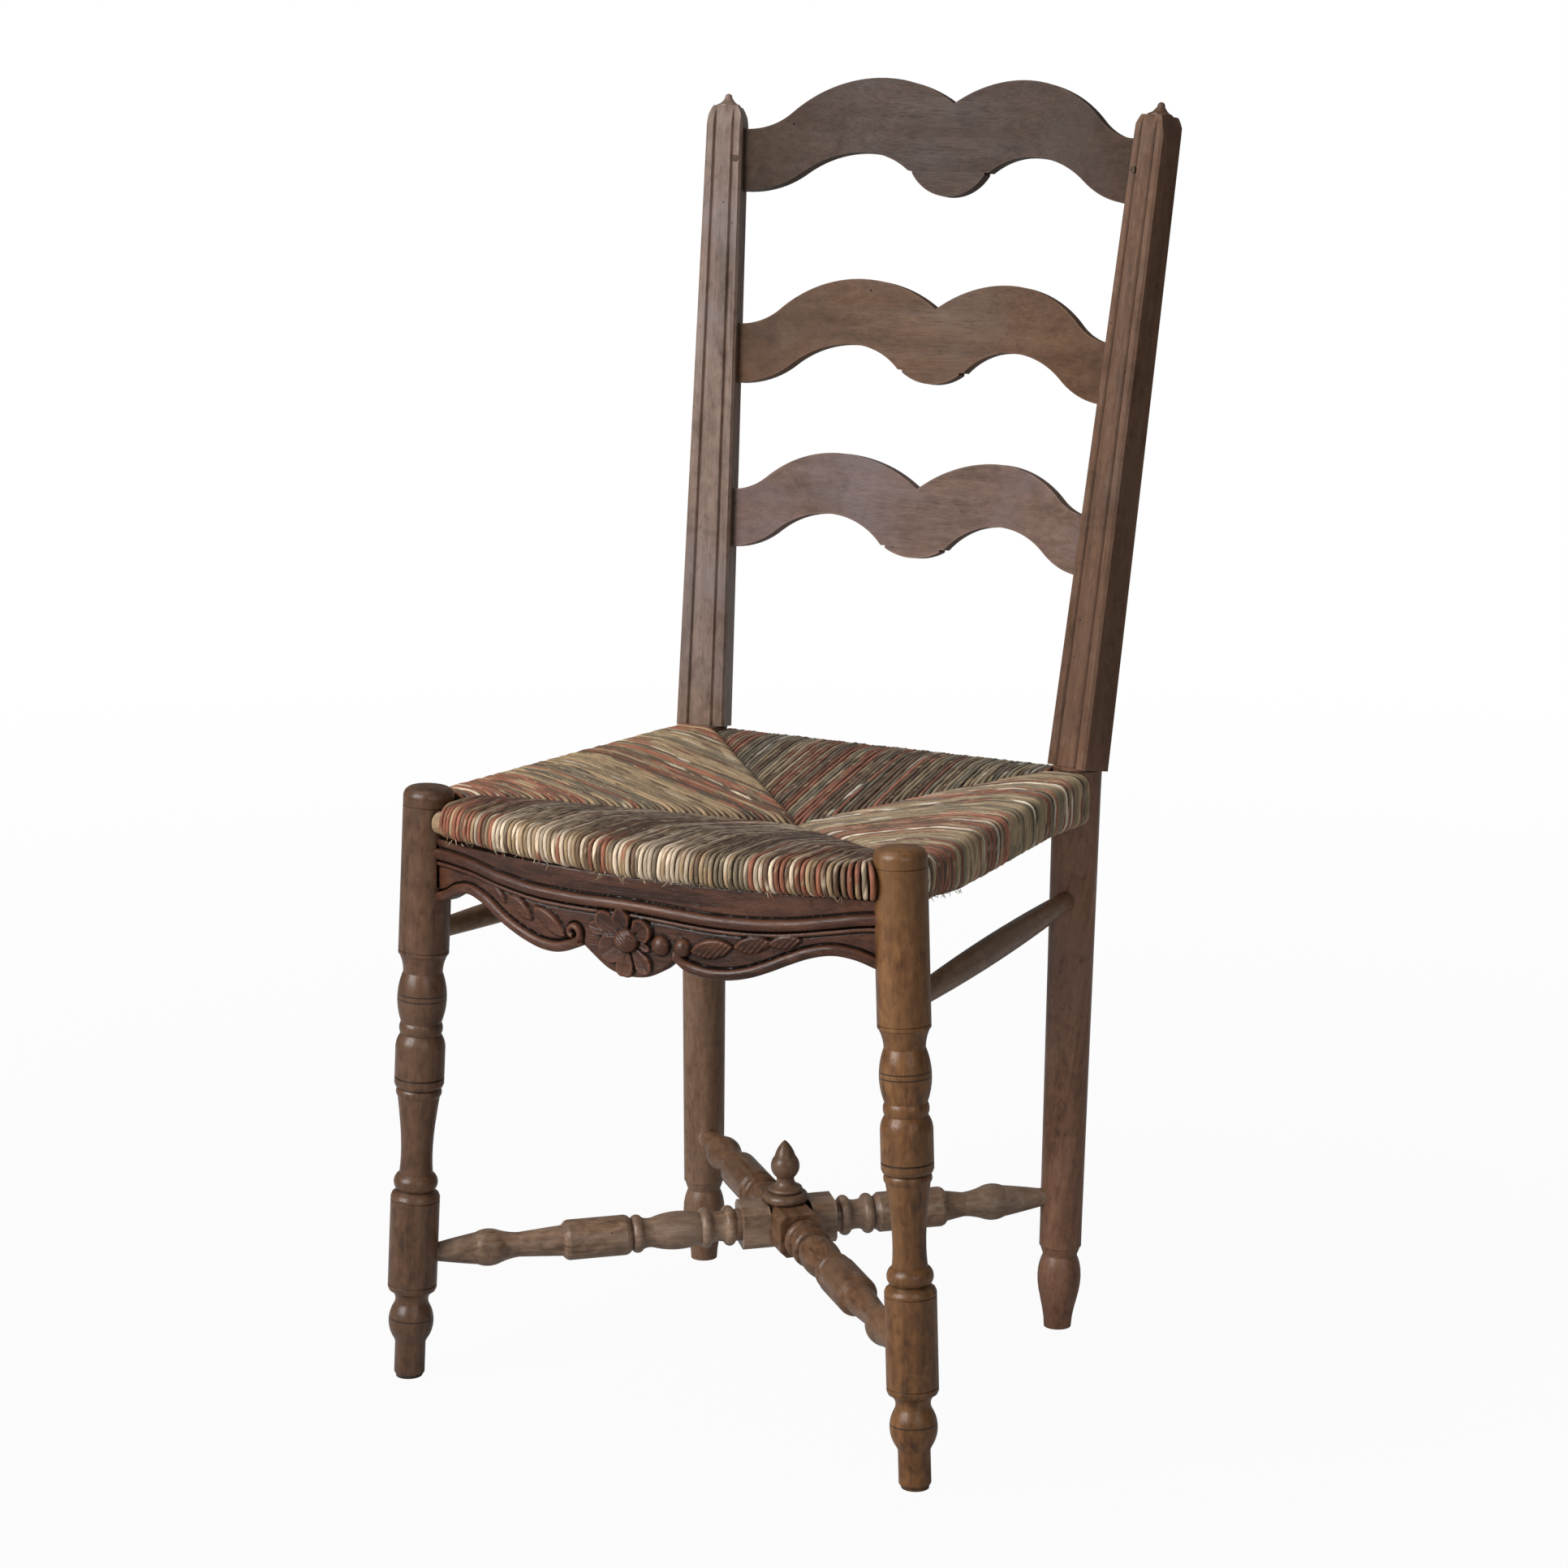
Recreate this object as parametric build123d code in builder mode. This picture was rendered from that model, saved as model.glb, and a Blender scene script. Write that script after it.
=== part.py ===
from build123d import *
from dataclasses import dataclass
from math import asin, cos, degrees, radians, sin
import os

# A rush seat chair: turned front legs, raked rear posts, three bowed slats, a shaped apron,
# a turned cross stretcher and a dished seat woven round four rails.
# Millimetres. The origin is on the floor under the middle of the chair, +Z is up, the front faces -Y.

# Fits
FIT = 0.1  # clearance round every tenon in its mortise
SOFT_GAP = 0.3  # clearance between the rush and the wood

# Stance of the legs, measured between their axes
FRONT_FOOT_Y = -224.59  # front feet, from the middle of the chair
FRONT_FOOT_SPREAD = 450.8
FRONT_SEAT_SPREAD = 407.2
FRONT_LEG_RAKE = 11.6  # how far the front legs lean back by the time they reach the seat
REAR_FOOT_SPREAD = 336.4
REAR_SEAT_SPREAD = 345.4
REAR_TIP_SPREAD = 392.2
REAR_FOOT_SETBACK = 354.4  # rear feet behind the front feet
REAR_SEAT_SETBACK = 365.9
REAR_TIP_SETBACK = 449.0

# Heights above the floor
SEAT_HEIGHT = 463.0  # top of the rush over the rails
POST_HEIGHT = 980.0  # tips of the rear posts
CROSS_FRONT_HEIGHT = 99.8  # axes of the cross stretchers at the front legs
CROSS_BACK_HEIGHT = 110.3  # and at the rear posts
SIDE_STRETCHER_HEIGHT = 358.5

# Details shared by all turned pieces
EASE = 2.5  # rounding where one turned member runs into the next
LIP = 1.0  # small step at the edge of a turned member
SCRIBE = 0.6  # depth and half width of a scribed line
TIP_R = 0.8  # small flat left by the lathe on every turned top

# Front leg, turned: radii of its members, and their lengths from the floor up
LEG_RIM_R = 10.4
LEG_FOOT_R = 12.0
LEG_FOOT_LENGTH = 31.0
LEG_BALL_R = 17.6
LEG_BALL_LENGTH = 28.0
LEG_ANKLE_R = 13.1
LEG_ANKLE_LENGTH = 12.5
LEG_BLOCK_R = 19.2
LEG_BLOCK_LENGTH = 79.0
LEG_BEVEL_LENGTH = 3.0  # slope from the block down to the bead
LEG_BEAD_R = 17.2
LEG_BEAD_FOOT_R = 14.5  # where the bead meets its neighbours
LEG_BEAD_LENGTH = 12.5
LEG_WAIST_R = 12.4
LEG_FLARE_R = 13.1  # where the waist starts to flare
LEG_WAIST_LENGTH = 63.5
LEG_RING_R = 17.8
LEG_RING_FOOT_R = 16.4
LEG_RING_LENGTH = 7.0
LEG_BARREL_R = 19.3
LEG_BARREL_LENGTH = 39.5
LEG_COLLAR_R = 16.9
LEG_COLLAR_FOOT_R = 15.7
LEG_COLLAR_LENGTH = 12.0
LEG_BULB_R = 19.1
LEG_BULB_LENGTH = 40.0
LEG_NECK_R = 15.2
LEG_NECK_LENGTH = 15.0
LEG_SHAFT_R = 19.6
LEG_TOP_RISE = 13.0  # domed top of the leg above the seat
LEG_DOME_BASE = 4.3  # straight rim under the dome, above the seat
LEG_CROWN_R = 12.6  # where the dome's edge turns into its flat crown
LEG_CROWN_DROP = 1.5

# Rear post: a round lower leg, a square upper part, a small point
POST_FOOT_R = 11.0
POST_VASE_R = 17.6
POST_FOOT_LENGTH = 61.0  # vase shaped foot, up to the ankle
POST_ANKLE_R = 13.7
POST_ANKLE_LENGTH = 8.0
POST_LEG_R = 17.0  # just above the ankle
POST_SEAT_R = 19.4  # at the seat
POST_WIDTH = 40.5  # square part, where it starts above the seat
POST_DEPTH = 31.0
POST_TOP_WIDTH = 30.0
POST_TOP_DEPTH = 25.0
POST_TURN = 17.0  # degrees that each square part turns to face along the bow of the slats
POST_CORNER = 2.0  # chamfer of the corners
POST_GROOVE = 1.2  # depth of the two grooves down the front
POST_SHOULDER = 17.5  # height of the rounded shoulder
POST_COLLAR = 10.2  # half the flat that the shoulders leave under the point
POST_POINT_R = 10.0
POST_POINT_WAIST_R = 5.0  # half way up
POST_POINT_NECK_R = 3.0
POST_POINT_KNOB_R = 2.4
POST_POINT_HEIGHT = 10.5

# Slats: levels below the tips of the posts, then shapes from the bottom corners up
CREST_DROP = 78.0
CREST_BOW = 33.0
CREST_END_HEIGHT = 50.7
CREST_PEAK_X = 63.0
CREST_PEAK = 97.5
CREST_NOTCH = 78.2
CREST_ARCH_X = 75.0
CREST_ARCH = 36.4
CREST_TICK_X = 33.0
CREST_TICK = 21.3
CREST_LOBE = 3.2
MIDDLE_DROP = 234.0
MIDDLE_BOW = 30.0
MIDDLE_END_HEIGHT = 48.6
MIDDLE_PEAK_X = 66.0
MIDDLE_PEAK = 91.3
MIDDLE_NOTCH = 69.7
MIDDLE_ARCH_X = 72.0
MIDDLE_ARCH = 37.5
MIDDLE_TICK_X = 26.0
MIDDLE_TICK = 17.4
MIDDLE_LOBE = 8.9
LOWER_DROP = 368.0
LOWER_BOW = 23.0
LOWER_END_HEIGHT = 47.6
LOWER_PEAK_X = 73.0
LOWER_PEAK = 83.6
LOWER_NOTCH = 58.9
LOWER_ARCH_X = 78.0
LOWER_ARCH = 33.4
LOWER_TICK_X = 25.0
LOWER_TICK = 9.2
LOWER_LOBE = 2.7
SLAT_THICKNESS = 11.0
SLAT_TENON_THICKNESS = 8.0
SLAT_TENON_SHOULDER = 4.0  # how much lower than the slat's end the tenon is, above and below
SLAT_PEAK_SHARE = 0.67  # how far along each ogee of the top edge its two arcs meet
SLAT_ARCH_SHARE = 0.52  # the same for the lower edge
SLAT_TICK = 4.0  # small step between the arch and the lobe
SLAT_TENON_STOP = 3.0  # the tenon ends this far short of the post's axis
SLAT_TENON_START = 26.6  # and starts this far from it, inside the slat
CREST_PEG_R = 3.0
CREST_PEG_SETBACK = 9.0  # peg from the post's axis, along the tenon
CREST_PEG_PROUD = 0.6
CREST_PEG_PAST_TENON = 4.0

# Seat rails and rush
FRONT_BOW = 33.0  # how far the front rail and the apron swell forwards
FRONT_RAIL_DEPTH = 26.0
FRONT_RAIL_HEIGHT = 17.0
SIDE_RAIL_WIDTH = 24.0
SIDE_RAIL_HEIGHT = 30.0
BACK_RAIL_WIDTH = 22.0
BACK_RAIL_HEIGHT = 26.0
BACK_RAIL_DROP = 1.0  # back of the seat below its sides
RAIL_EDGE = 8.0  # rounding of the rails
RAIL_TENON_R = 7.0
RAIL_SHOULDER = 1.5  # a rail's shoulder stands this far off its leaning leg
TENON_STOP = 9.0  # round tenons end this far short of the leg's axis
RUSH_WALL = 4.5  # one layer of rush
RUSH_PANEL_DROP = 2.0  # woven panel below the roll over the rails
ROLL_OVERRUN = 2.0  # rolls run past the legs' axes before the legs are cut out of them
DISH_DEPTH = 35.0
DISH_THICKNESS = 14.0  # both layers, at the middle of the dish
DISH_CENTRE_SETBACK = 203.0  # middle of the dish behind the front legs at the seat
DISH_MARGIN = 1.5  # rim of the dish inside the rolls
DISH_FLAT_SHARE = 0.04  # middle of the dish that is flat, as a share of its width

# Apron: drops are measured down from its top edge, stations across from the middle
APRON_THICKNESS = 15.0
APRON_TENON_THICKNESS = 9.0
APRON_TENON_HEIGHT = 34.0
APRON_TENON_SHOULDER = 4.0  # top of the tenon below the top of the apron
APRON_BEAD_R = 4.0
APRON_BEAD_DROP = 20.0
APRON_LEFT_END_DROP = 47.5
APRON_LEFT_ARCH = -152.0
APRON_LEFT_ARCH_DROP = 36.0
APRON_LEFT_SWEEP = -110.0
APRON_LEFT_SWEEP_DROP = 52.5
APRON_LEFT_LOBE = -66.0
APRON_LEFT_LOBE_DROP = 65.5
APRON_NOTCH = 39.0  # both notches beside the middle lobe
APRON_NOTCH_DROP = 57.5
APRON_MIDDLE_DROP = 75.0
APRON_RIGHT_LOBE = 80.0
APRON_RIGHT_LOBE_DROP = 68.5
APRON_RIGHT_SWEEP = 120.0
APRON_RIGHT_SWEEP_DROP = 56.0
APRON_RIGHT_ARCH = 160.0
APRON_RIGHT_ARCH_DROP = 43.5
APRON_RIGHT_END_DROP = 50.0

# Stretchers
STRETCHER_TENON_R = 7.5
SIDE_STRETCHER_R = 10.4  # at its middle
CROSS_COVE_R = 10.2  # half way between the leg and the bulge
CROSS_BULGE_R = 14.7
CROSS_BULGE = 59.0  # from the leg's axis
CROSS_BEAD = 9.5  # half the length of the bulge's rounded middle
CROSS_BEAD_DROP = 2.1  # from its middle to its ends
CROSS_WAIST_R = 10.6  # half way between the bulge and the neck
CROSS_NECK_R = 9.7
CROSS_NECK = 83.0
CROSS_FLARE_R = 12.2  # end of the neck, against the barrel
CROSS_BARREL_R = 16.0
CROSS_FRONT_BARREL_START = 120.0
CROSS_BACK_BARREL_START = 100.0
CROSS_RING_R = 16.2
CROSS_RING_FOOT_R = 12.7
CROSS_RING = 47.0  # inner ring from the crossing
CROSS_OUTER_RING = 66.0
CROSS_VASE_R = 15.2
CROSS_VASE = 87.0
CROSS_VASE_NECK_R = 11.6
CROSS_VASE_NECK = 109.0
CROSS_BARREL_STOP = 128.0  # front barrel's end from the crossing
CROSS_HUB = 38.0  # half the length of the square hub
CROSS_HUB_WIDTH = 34.0
CROSS_HUB_CHAMFER = 5.0

# Finial on the crossing
FINIAL_TENON_R = 6.0
FINIAL_TENON_LENGTH = 22.0
FINIAL_DISC_R = 18.0
FINIAL_DISC = 7.0
FINIAL_STEP_R = 12.5
FINIAL_STEP = 12.0
FINIAL_NECK_R = 7.2
FINIAL_NECK = 20.0
FINIAL_BEAD_R = 11.3
FINIAL_BEAD = 31.0
FINIAL_COLLAR_R = 8.4
FINIAL_COLLAR = 37.0
FINIAL_CONE_R = 5.8  # half way from the collar to the tip
FINIAL_HEIGHT = 50.0

LEFT, RIGHT = -1, 1
SIDES = {"left": LEFT, "right": RIGHT}


@dataclass
class Slat:
    """One bowed slat; its heights run up the leaning back, from its two bottom corners."""

    name: str
    level: float  # height of the bottom corners above the floor
    bow: float  # how far its middle stands behind its ends
    end_height: float
    peak_x: float
    peak: float
    notch: float
    arch_x: float
    arch: float
    tick_x: float
    tick: float
    lobe: float


SLATS = [
    Slat(
        name="crest_slat",
        level=POST_HEIGHT - CREST_DROP,
        bow=CREST_BOW,
        end_height=CREST_END_HEIGHT,
        peak_x=CREST_PEAK_X,
        peak=CREST_PEAK,
        notch=CREST_NOTCH,
        arch_x=CREST_ARCH_X,
        arch=CREST_ARCH,
        tick_x=CREST_TICK_X,
        tick=CREST_TICK,
        lobe=CREST_LOBE,
    ),
    Slat(
        name="middle_slat",
        level=POST_HEIGHT - MIDDLE_DROP,
        bow=MIDDLE_BOW,
        end_height=MIDDLE_END_HEIGHT,
        peak_x=MIDDLE_PEAK_X,
        peak=MIDDLE_PEAK,
        notch=MIDDLE_NOTCH,
        arch_x=MIDDLE_ARCH_X,
        arch=MIDDLE_ARCH,
        tick_x=MIDDLE_TICK_X,
        tick=MIDDLE_TICK,
        lobe=MIDDLE_LOBE,
    ),
    Slat(
        name="lower_slat",
        level=POST_HEIGHT - LOWER_DROP,
        bow=LOWER_BOW,
        end_height=LOWER_END_HEIGHT,
        peak_x=LOWER_PEAK_X,
        peak=LOWER_PEAK,
        notch=LOWER_NOTCH,
        arch_x=LOWER_ARCH_X,
        arch=LOWER_ARCH,
        tick_x=LOWER_TICK_X,
        tick=LOWER_TICK,
        lobe=LOWER_LOBE,
    ),
]


@dataclass
class Rail:
    """A straight seat rail between two legs' axes."""

    name: str
    start: Vector
    end: Vector
    width: float
    height: float


@dataclass
class Bow:
    """An arc in plan from one leg's axis to the other's, with its crown on the local +Y side."""

    plane: Plane  # origin at the arc's centre
    radius: float
    half_angle: float  # radians

    def point(self, angle: float, radius: float = 0.0) -> Vector:
        """A point at an angle from the crown, on the arc or at another radius."""
        reach = radius or self.radius
        return self.plane.from_local_coords(Vector(reach * sin(angle), reach * cos(angle), 0))


def make_bow(middle: Vector, half_span: float, sagitta: float, crown: Vector, up: Vector) -> Bow:
    """The bow whose ends lie half a span either side of a middle point."""
    radius = (half_span**2 + sagitta**2) / (2 * sagitta)
    centre = middle - crown * (radius - sagitta)
    plane = Plane(origin=centre, x_dir=crown.cross(up), z_dir=up)
    return Bow(plane, radius, asin(half_span / radius))


def at_height(start: Vector, end: Vector, height: float) -> Vector:
    """The point of a leaning axis at a height above the floor."""
    return start + (end - start) * ((height - start.Z) / (end.Z - start.Z))


def turning_plane(start: Vector, end: Vector, reference: Vector) -> Plane:
    """A plane with local X across a turned piece and local Y along its axis."""
    along = (end - start).normalized()
    across = along.cross(reference).normalized()
    return Plane(origin=start, x_dir=across, z_dir=across.cross(along))


def scribe(radius: float, height: float) -> list:
    """Three points that cut a fine turned line into a profile."""
    return [(radius, height - SCRIBE), (radius - SCRIBE, height), (radius, height + SCRIBE)]


def bowed_strip(bow: Bow, thickness: float, start: float, stop: float):
    """A strip in plan that follows a bow between two angles from its crown."""
    inner = bow.radius - thickness / 2
    outer = bow.radius + thickness / 2
    first = 90 - degrees(stop)
    sweep_angle = degrees(stop - start)
    with BuildSketch(bow.plane) as strip:
        with BuildLine():
            near = CenterArc((0, 0), inner, first, sweep_angle)
            far = CenterArc((0, 0), outer, first, sweep_angle)
            Line(near @ 0, far @ 0)
            Line(near @ 1, far @ 1)
        make_face()
    return strip.sketch


def round_section(start: Vector, toward: Vector, radius: float):
    """A disc at a point, facing another point."""
    with BuildSketch(Plane(origin=start, z_dir=toward - start)) as disc:
        Circle(radius)
    return disc.sketch


def drill(axis_point: Vector, toward: Vector, radius: float):
    """Cut a round mortise into a leg, from short of its axis out through its surface."""
    direction = (toward - axis_point).normalized()
    mouth = round_section(axis_point + direction * (TENON_STOP - FIT), toward, radius + FIT)
    extrude(mouth, amount=POST_WIDTH, mode=Mode.SUBTRACT)


# Axes of the legs and posts, the left one under -1 and the right one under +1
front_foot = {s: Vector(s * FRONT_FOOT_SPREAD / 2, FRONT_FOOT_Y, 0) for s in SIDES.values()}
front_seat = {
    s: Vector(s * FRONT_SEAT_SPREAD / 2, FRONT_FOOT_Y + FRONT_LEG_RAKE, SEAT_HEIGHT)
    for s in SIDES.values()
}
rear_foot = {
    s: Vector(s * REAR_FOOT_SPREAD / 2, FRONT_FOOT_Y + REAR_FOOT_SETBACK, 0) for s in SIDES.values()
}
POST_STEP = SEAT_HEIGHT + SOFT_GAP
rear_seat = {
    s: Vector(s * REAR_SEAT_SPREAD / 2, FRONT_FOOT_Y + REAR_SEAT_SETBACK, POST_STEP)
    for s in SIDES.values()
}
rear_tip = {
    s: Vector(s * REAR_TIP_SPREAD / 2, FRONT_FOOT_Y + REAR_TIP_SETBACK, POST_HEIGHT)
    for s in SIDES.values()
}

# Levels of the rails, and the places where each joint meets a leg's axis
FRONT_RAIL_LEVEL = SEAT_HEIGHT - RUSH_WALL - FRONT_RAIL_HEIGHT / 2
SIDE_RAIL_LEVEL = SEAT_HEIGHT - RUSH_WALL - SIDE_RAIL_HEIGHT / 2
BACK_RAIL_LEVEL = SEAT_HEIGHT - RUSH_WALL - BACK_RAIL_DROP - BACK_RAIL_HEIGHT / 2
FRONT_ROLL_BOTTOM = FRONT_RAIL_LEVEL - FRONT_RAIL_HEIGHT / 2 - RUSH_WALL
APRON_TOP = FRONT_ROLL_BOTTOM - SOFT_GAP
front_rail_end = {s: at_height(front_foot[s], front_seat[s], FRONT_RAIL_LEVEL) for s in SIDES.values()}
side_rail_front = {s: at_height(front_foot[s], front_seat[s], SIDE_RAIL_LEVEL) for s in SIDES.values()}
side_rail_back = {s: at_height(rear_foot[s], rear_seat[s], SIDE_RAIL_LEVEL) for s in SIDES.values()}
back_rail_end = {s: at_height(rear_foot[s], rear_seat[s], BACK_RAIL_LEVEL) for s in SIDES.values()}
stretcher_front = {
    s: at_height(front_foot[s], front_seat[s], SIDE_STRETCHER_HEIGHT) for s in SIDES.values()
}
stretcher_back = {
    s: at_height(rear_foot[s], rear_seat[s], SIDE_STRETCHER_HEIGHT) for s in SIDES.values()
}
cross_front = {s: at_height(front_foot[s], front_seat[s], CROSS_FRONT_HEIGHT) for s in SIDES.values()}
cross_back = {s: at_height(rear_foot[s], rear_seat[s], CROSS_BACK_HEIGHT) for s in SIDES.values()}

STRAIGHT_RAILS = [
    Rail(f"seat_rail_{side}", side_rail_front[s], side_rail_back[s], SIDE_RAIL_WIDTH, SIDE_RAIL_HEIGHT)
    for side, s in SIDES.items()
]
STRAIGHT_RAILS.append(
    Rail("seat_rail_back", back_rail_end[LEFT], back_rail_end[RIGHT], BACK_RAIL_WIDTH, BACK_RAIL_HEIGHT)
)

UP = Vector(0, 0, 1)
FORWARD = Vector(0, -1, 0)
BACKWARD = Vector(0, 1, 0)
rail_bow = make_bow(
    Vector(0, front_rail_end[RIGHT].Y, FRONT_RAIL_LEVEL),
    front_rail_end[RIGHT].X,
    FRONT_BOW,
    FORWARD,
    UP,
)
apron_axis = at_height(front_foot[RIGHT], front_seat[RIGHT], APRON_TOP - APRON_LEFT_ARCH_DROP)
apron_bow = make_bow(Vector(0, apron_axis.Y, APRON_TOP), apron_axis.X, FRONT_BOW, FORWARD, UP)

# The leaning back: slats stand along the rear posts
back_lean = rear_tip[RIGHT] - rear_seat[RIGHT]
back_up = Vector(0, back_lean.Y, back_lean.Z).normalized()
back_crown = Vector(0, back_up.Z, -back_up.Y)


def slat_bow(slat: Slat) -> Bow:
    """The bow of a slat, at the level of its bottom corners."""
    axis = at_height(rear_seat[RIGHT], rear_tip[RIGHT], slat.level)
    return make_bow(Vector(0, axis.Y, slat.level), axis.X, slat.bow, back_crown, back_up)


def slat_tenon(slat: Slat, clearance: float):
    """The tenon at a slat's right end, or the mortise for it where a clearance is given."""
    bow = slat_bow(slat)
    stop = bow.half_angle - (SLAT_TENON_STOP - clearance) / bow.radius
    start = bow.half_angle - SLAT_TENON_START / bow.radius
    foot = SLAT_TENON_SHOULDER - clearance
    with BuildPart() as tenon:
        extrude(
            bowed_strip(bow, SLAT_TENON_THICKNESS + 2 * clearance, start, stop),
            amount=slat.end_height - 2 * foot,
        )
    return tenon.part.moved(Location(back_up * foot))


def apron_tenon(sign: int, clearance: float):
    """The tenon at one end of the apron, or the mortise for it where a clearance is given."""
    stop = apron_bow.half_angle - (TENON_STOP - clearance) / apron_bow.radius
    start = apron_bow.half_angle - POST_WIDTH / apron_bow.radius
    angles = (start, stop) if sign < 0 else (-stop, -start)
    with BuildPart() as tenon:
        extrude(
            bowed_strip(apron_bow, APRON_TENON_THICKNESS + 2 * clearance, *angles),
            amount=APRON_TENON_HEIGHT + 2 * clearance,
        )
    drop = APRON_TENON_SHOULDER + APRON_TENON_HEIGHT + clearance
    return tenon.part.moved(Location((0, 0, -drop)))


def crest_peg(sign: int, radius: float, proud: float):
    """A peg driven from the front of a post through the crest's tenon."""
    slat = SLATS[0]
    bow = slat_bow(slat)
    angle = sign * (bow.half_angle - CREST_PEG_SETBACK / bow.radius)
    lift = back_up * (slat.end_height / 2)
    tip = bow.point(angle, bow.radius + SLAT_TENON_THICKNESS / 2 + CREST_PEG_PAST_TENON) + lift
    head = bow.point(angle, bow.radius - POST_TOP_DEPTH / 2 - proud) + lift
    with BuildPart() as peg:
        extrude(round_section(tip, head, radius), amount=(head - tip).length)
    return peg.part


def post_plane(sign: int) -> Plane:
    """The plane across a post's square part, at the seat, turned to face along the slats."""
    across = Vector(cos(radians(POST_TURN)), -sign * sin(radians(POST_TURN)), 0)
    return Plane(origin=rear_seat[sign], x_dir=across, z_dir=rear_tip[sign] - rear_seat[sign])


def post_profile(across: Vector, lean: Vector, seat: Vector, outline: list):
    """An outline drawn across and along a leaning post."""
    with BuildSketch(Plane(origin=seat, x_dir=across, z_dir=across.cross(lean))) as profile:
        with BuildLine():
            Polyline(*outline, close=True)
        make_face()
    return profile.sketch


def shoulder_profile(across: Vector, lean: Vector, seat: Vector, half: float, height: float):
    """A post's outline with rounded shoulders, and room for its taper below them."""
    base = height - POST_SHOULDER
    with BuildSketch(Plane(origin=seat, x_dir=across, z_dir=across.cross(lean))) as profile:
        with BuildLine():
            Polyline((-half, base), (-POST_WIDTH, -EASE), (POST_WIDTH, -EASE), (half, base))
            TangentArc((half, base), (POST_COLLAR, height), tangent=(0, 1))
            Line((POST_COLLAR, height), (-POST_COLLAR, height))
            TangentArc((-half, base), (-POST_COLLAR, height), tangent=(0, 1))
        make_face()
    return profile.sketch


def post_blank(sign: int):
    """The square part of a post, tapering to its rounded shoulders, without grooves and mortises."""
    seat = rear_seat[sign]
    height = (rear_tip[sign] - seat).length - POST_POINT_HEIGHT
    plane = post_plane(sign)
    faces = [
        (plane.x_dir, POST_WIDTH / 2, POST_TOP_WIDTH / 2),
        (plane.y_dir, POST_DEPTH / 2, POST_TOP_DEPTH / 2),
    ]
    with BuildPart() as blank:
        for index, (across, low, high) in enumerate(faces):
            taper = [(-low, 0), (low, 0), (high, height), (-high, height)]
            side = post_profile(across, plane.z_dir, seat, taper)
            extrude(side, amount=POST_WIDTH, both=True, mode=Mode.INTERSECT if index else Mode.ADD)
        chamfer(blank.edges().filter_by(lambda edge: edge.length > height / 2), POST_CORNER)
        for across, low, high in faces:
            half = high + (low - high) * POST_SHOULDER / height
            rounded = shoulder_profile(across, plane.z_dir, seat, half, height)
            extrude(rounded, amount=POST_WIDTH, both=True, mode=Mode.INTERSECT)
    return blank.part


def ogee(high: tuple, low: tuple, share: float):
    """Draw two arcs that run level out of a high point and level into a low one."""
    join = (high[0] + (low[0] - high[0]) * share, high[1] + (low[1] - high[1]) * share)
    toward = (1, 0) if low[0] > high[0] else (-1, 0)
    back = (-toward[0], 0)
    TangentArc(high, join, tangent=toward)
    TangentArc(low, join, tangent=back)


def slat_edge(slat: Slat, reach: float):
    """Draw the right half of a slat's outline: its arched lower edge, its end and its crowned top."""
    end = reach - POST_TOP_WIDTH / 2
    toe = (slat.tick_x + SLAT_TICK, slat.tick + SLAT_TICK / 2)
    TangentArc((0, slat.lobe), (slat.tick_x, slat.tick), tangent=(1, 0))
    Polyline((slat.tick_x, slat.tick), (slat.tick_x, slat.tick + SLAT_TICK / 2), toe)
    TangentArc((slat.arch_x, slat.arch), toe, tangent=(-1, 0))
    ogee((slat.arch_x, slat.arch), (end, 0), SLAT_ARCH_SHARE)
    Polyline((end, 0), (reach, 0), (reach, slat.end_height), (end, slat.end_height))
    ogee((slat.peak_x, slat.peak), (end, slat.end_height), SLAT_PEAK_SHARE)
    TangentArc((slat.peak_x, slat.peak), (0, slat.notch), tangent=(-1, 0))


def leg_bore(sign: int):
    """Clear a front leg's shaft from what is built round it."""
    disc = round_section(front_foot[sign], front_seat[sign], LEG_SHAFT_R + SOFT_GAP)
    extrude(disc, amount=SEAT_HEIGHT + LEG_TOP_RISE, mode=Mode.SUBTRACT)


def post_bore(sign: int):
    """Clear a rear leg's round part from what is built round it."""
    disc = round_section(rear_foot[sign], rear_seat[sign], POST_SEAT_R + SOFT_GAP)
    extrude(disc, amount=SEAT_HEIGHT + LEG_TOP_RISE, mode=Mode.SUBTRACT)


def bowed_rail(bow: Bow, growth: float, shoulder: float, mode=Mode.ADD):
    """A bar with the front rail's section that follows a bow, grown all round by a wall."""
    angle = bow.half_angle - shoulder / bow.radius
    start = bow.point(angle)
    outward = (start - bow.plane.origin).normalized()
    with BuildSketch(Plane(origin=start, x_dir=outward, z_dir=outward.cross(UP))) as section:
        RectangleRounded(
            FRONT_RAIL_DEPTH + 2 * growth, FRONT_RAIL_HEIGHT + 2 * growth, RAIL_EDGE + growth
        )
    centre_line = Axis(bow.plane.origin, UP)
    revolve(section.sketch, axis=centre_line, revolution_arc=2 * degrees(angle), mode=mode)


def straight_rail(rail: Rail, growth: float, shoulder: float, mode=Mode.ADD):
    """The bar of a straight rail between its two legs, grown all round by a wall."""
    along = (rail.end - rail.start).normalized()
    plane = Plane(origin=rail.start + along * shoulder, x_dir=UP.cross(along), z_dir=along)
    with BuildSketch(plane) as section:
        RectangleRounded(rail.width + 2 * growth, rail.height + 2 * growth, RAIL_EDGE + growth)
    extrude(section.sketch, amount=(rail.end - rail.start).length - 2 * shoulder, mode=mode)


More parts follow.
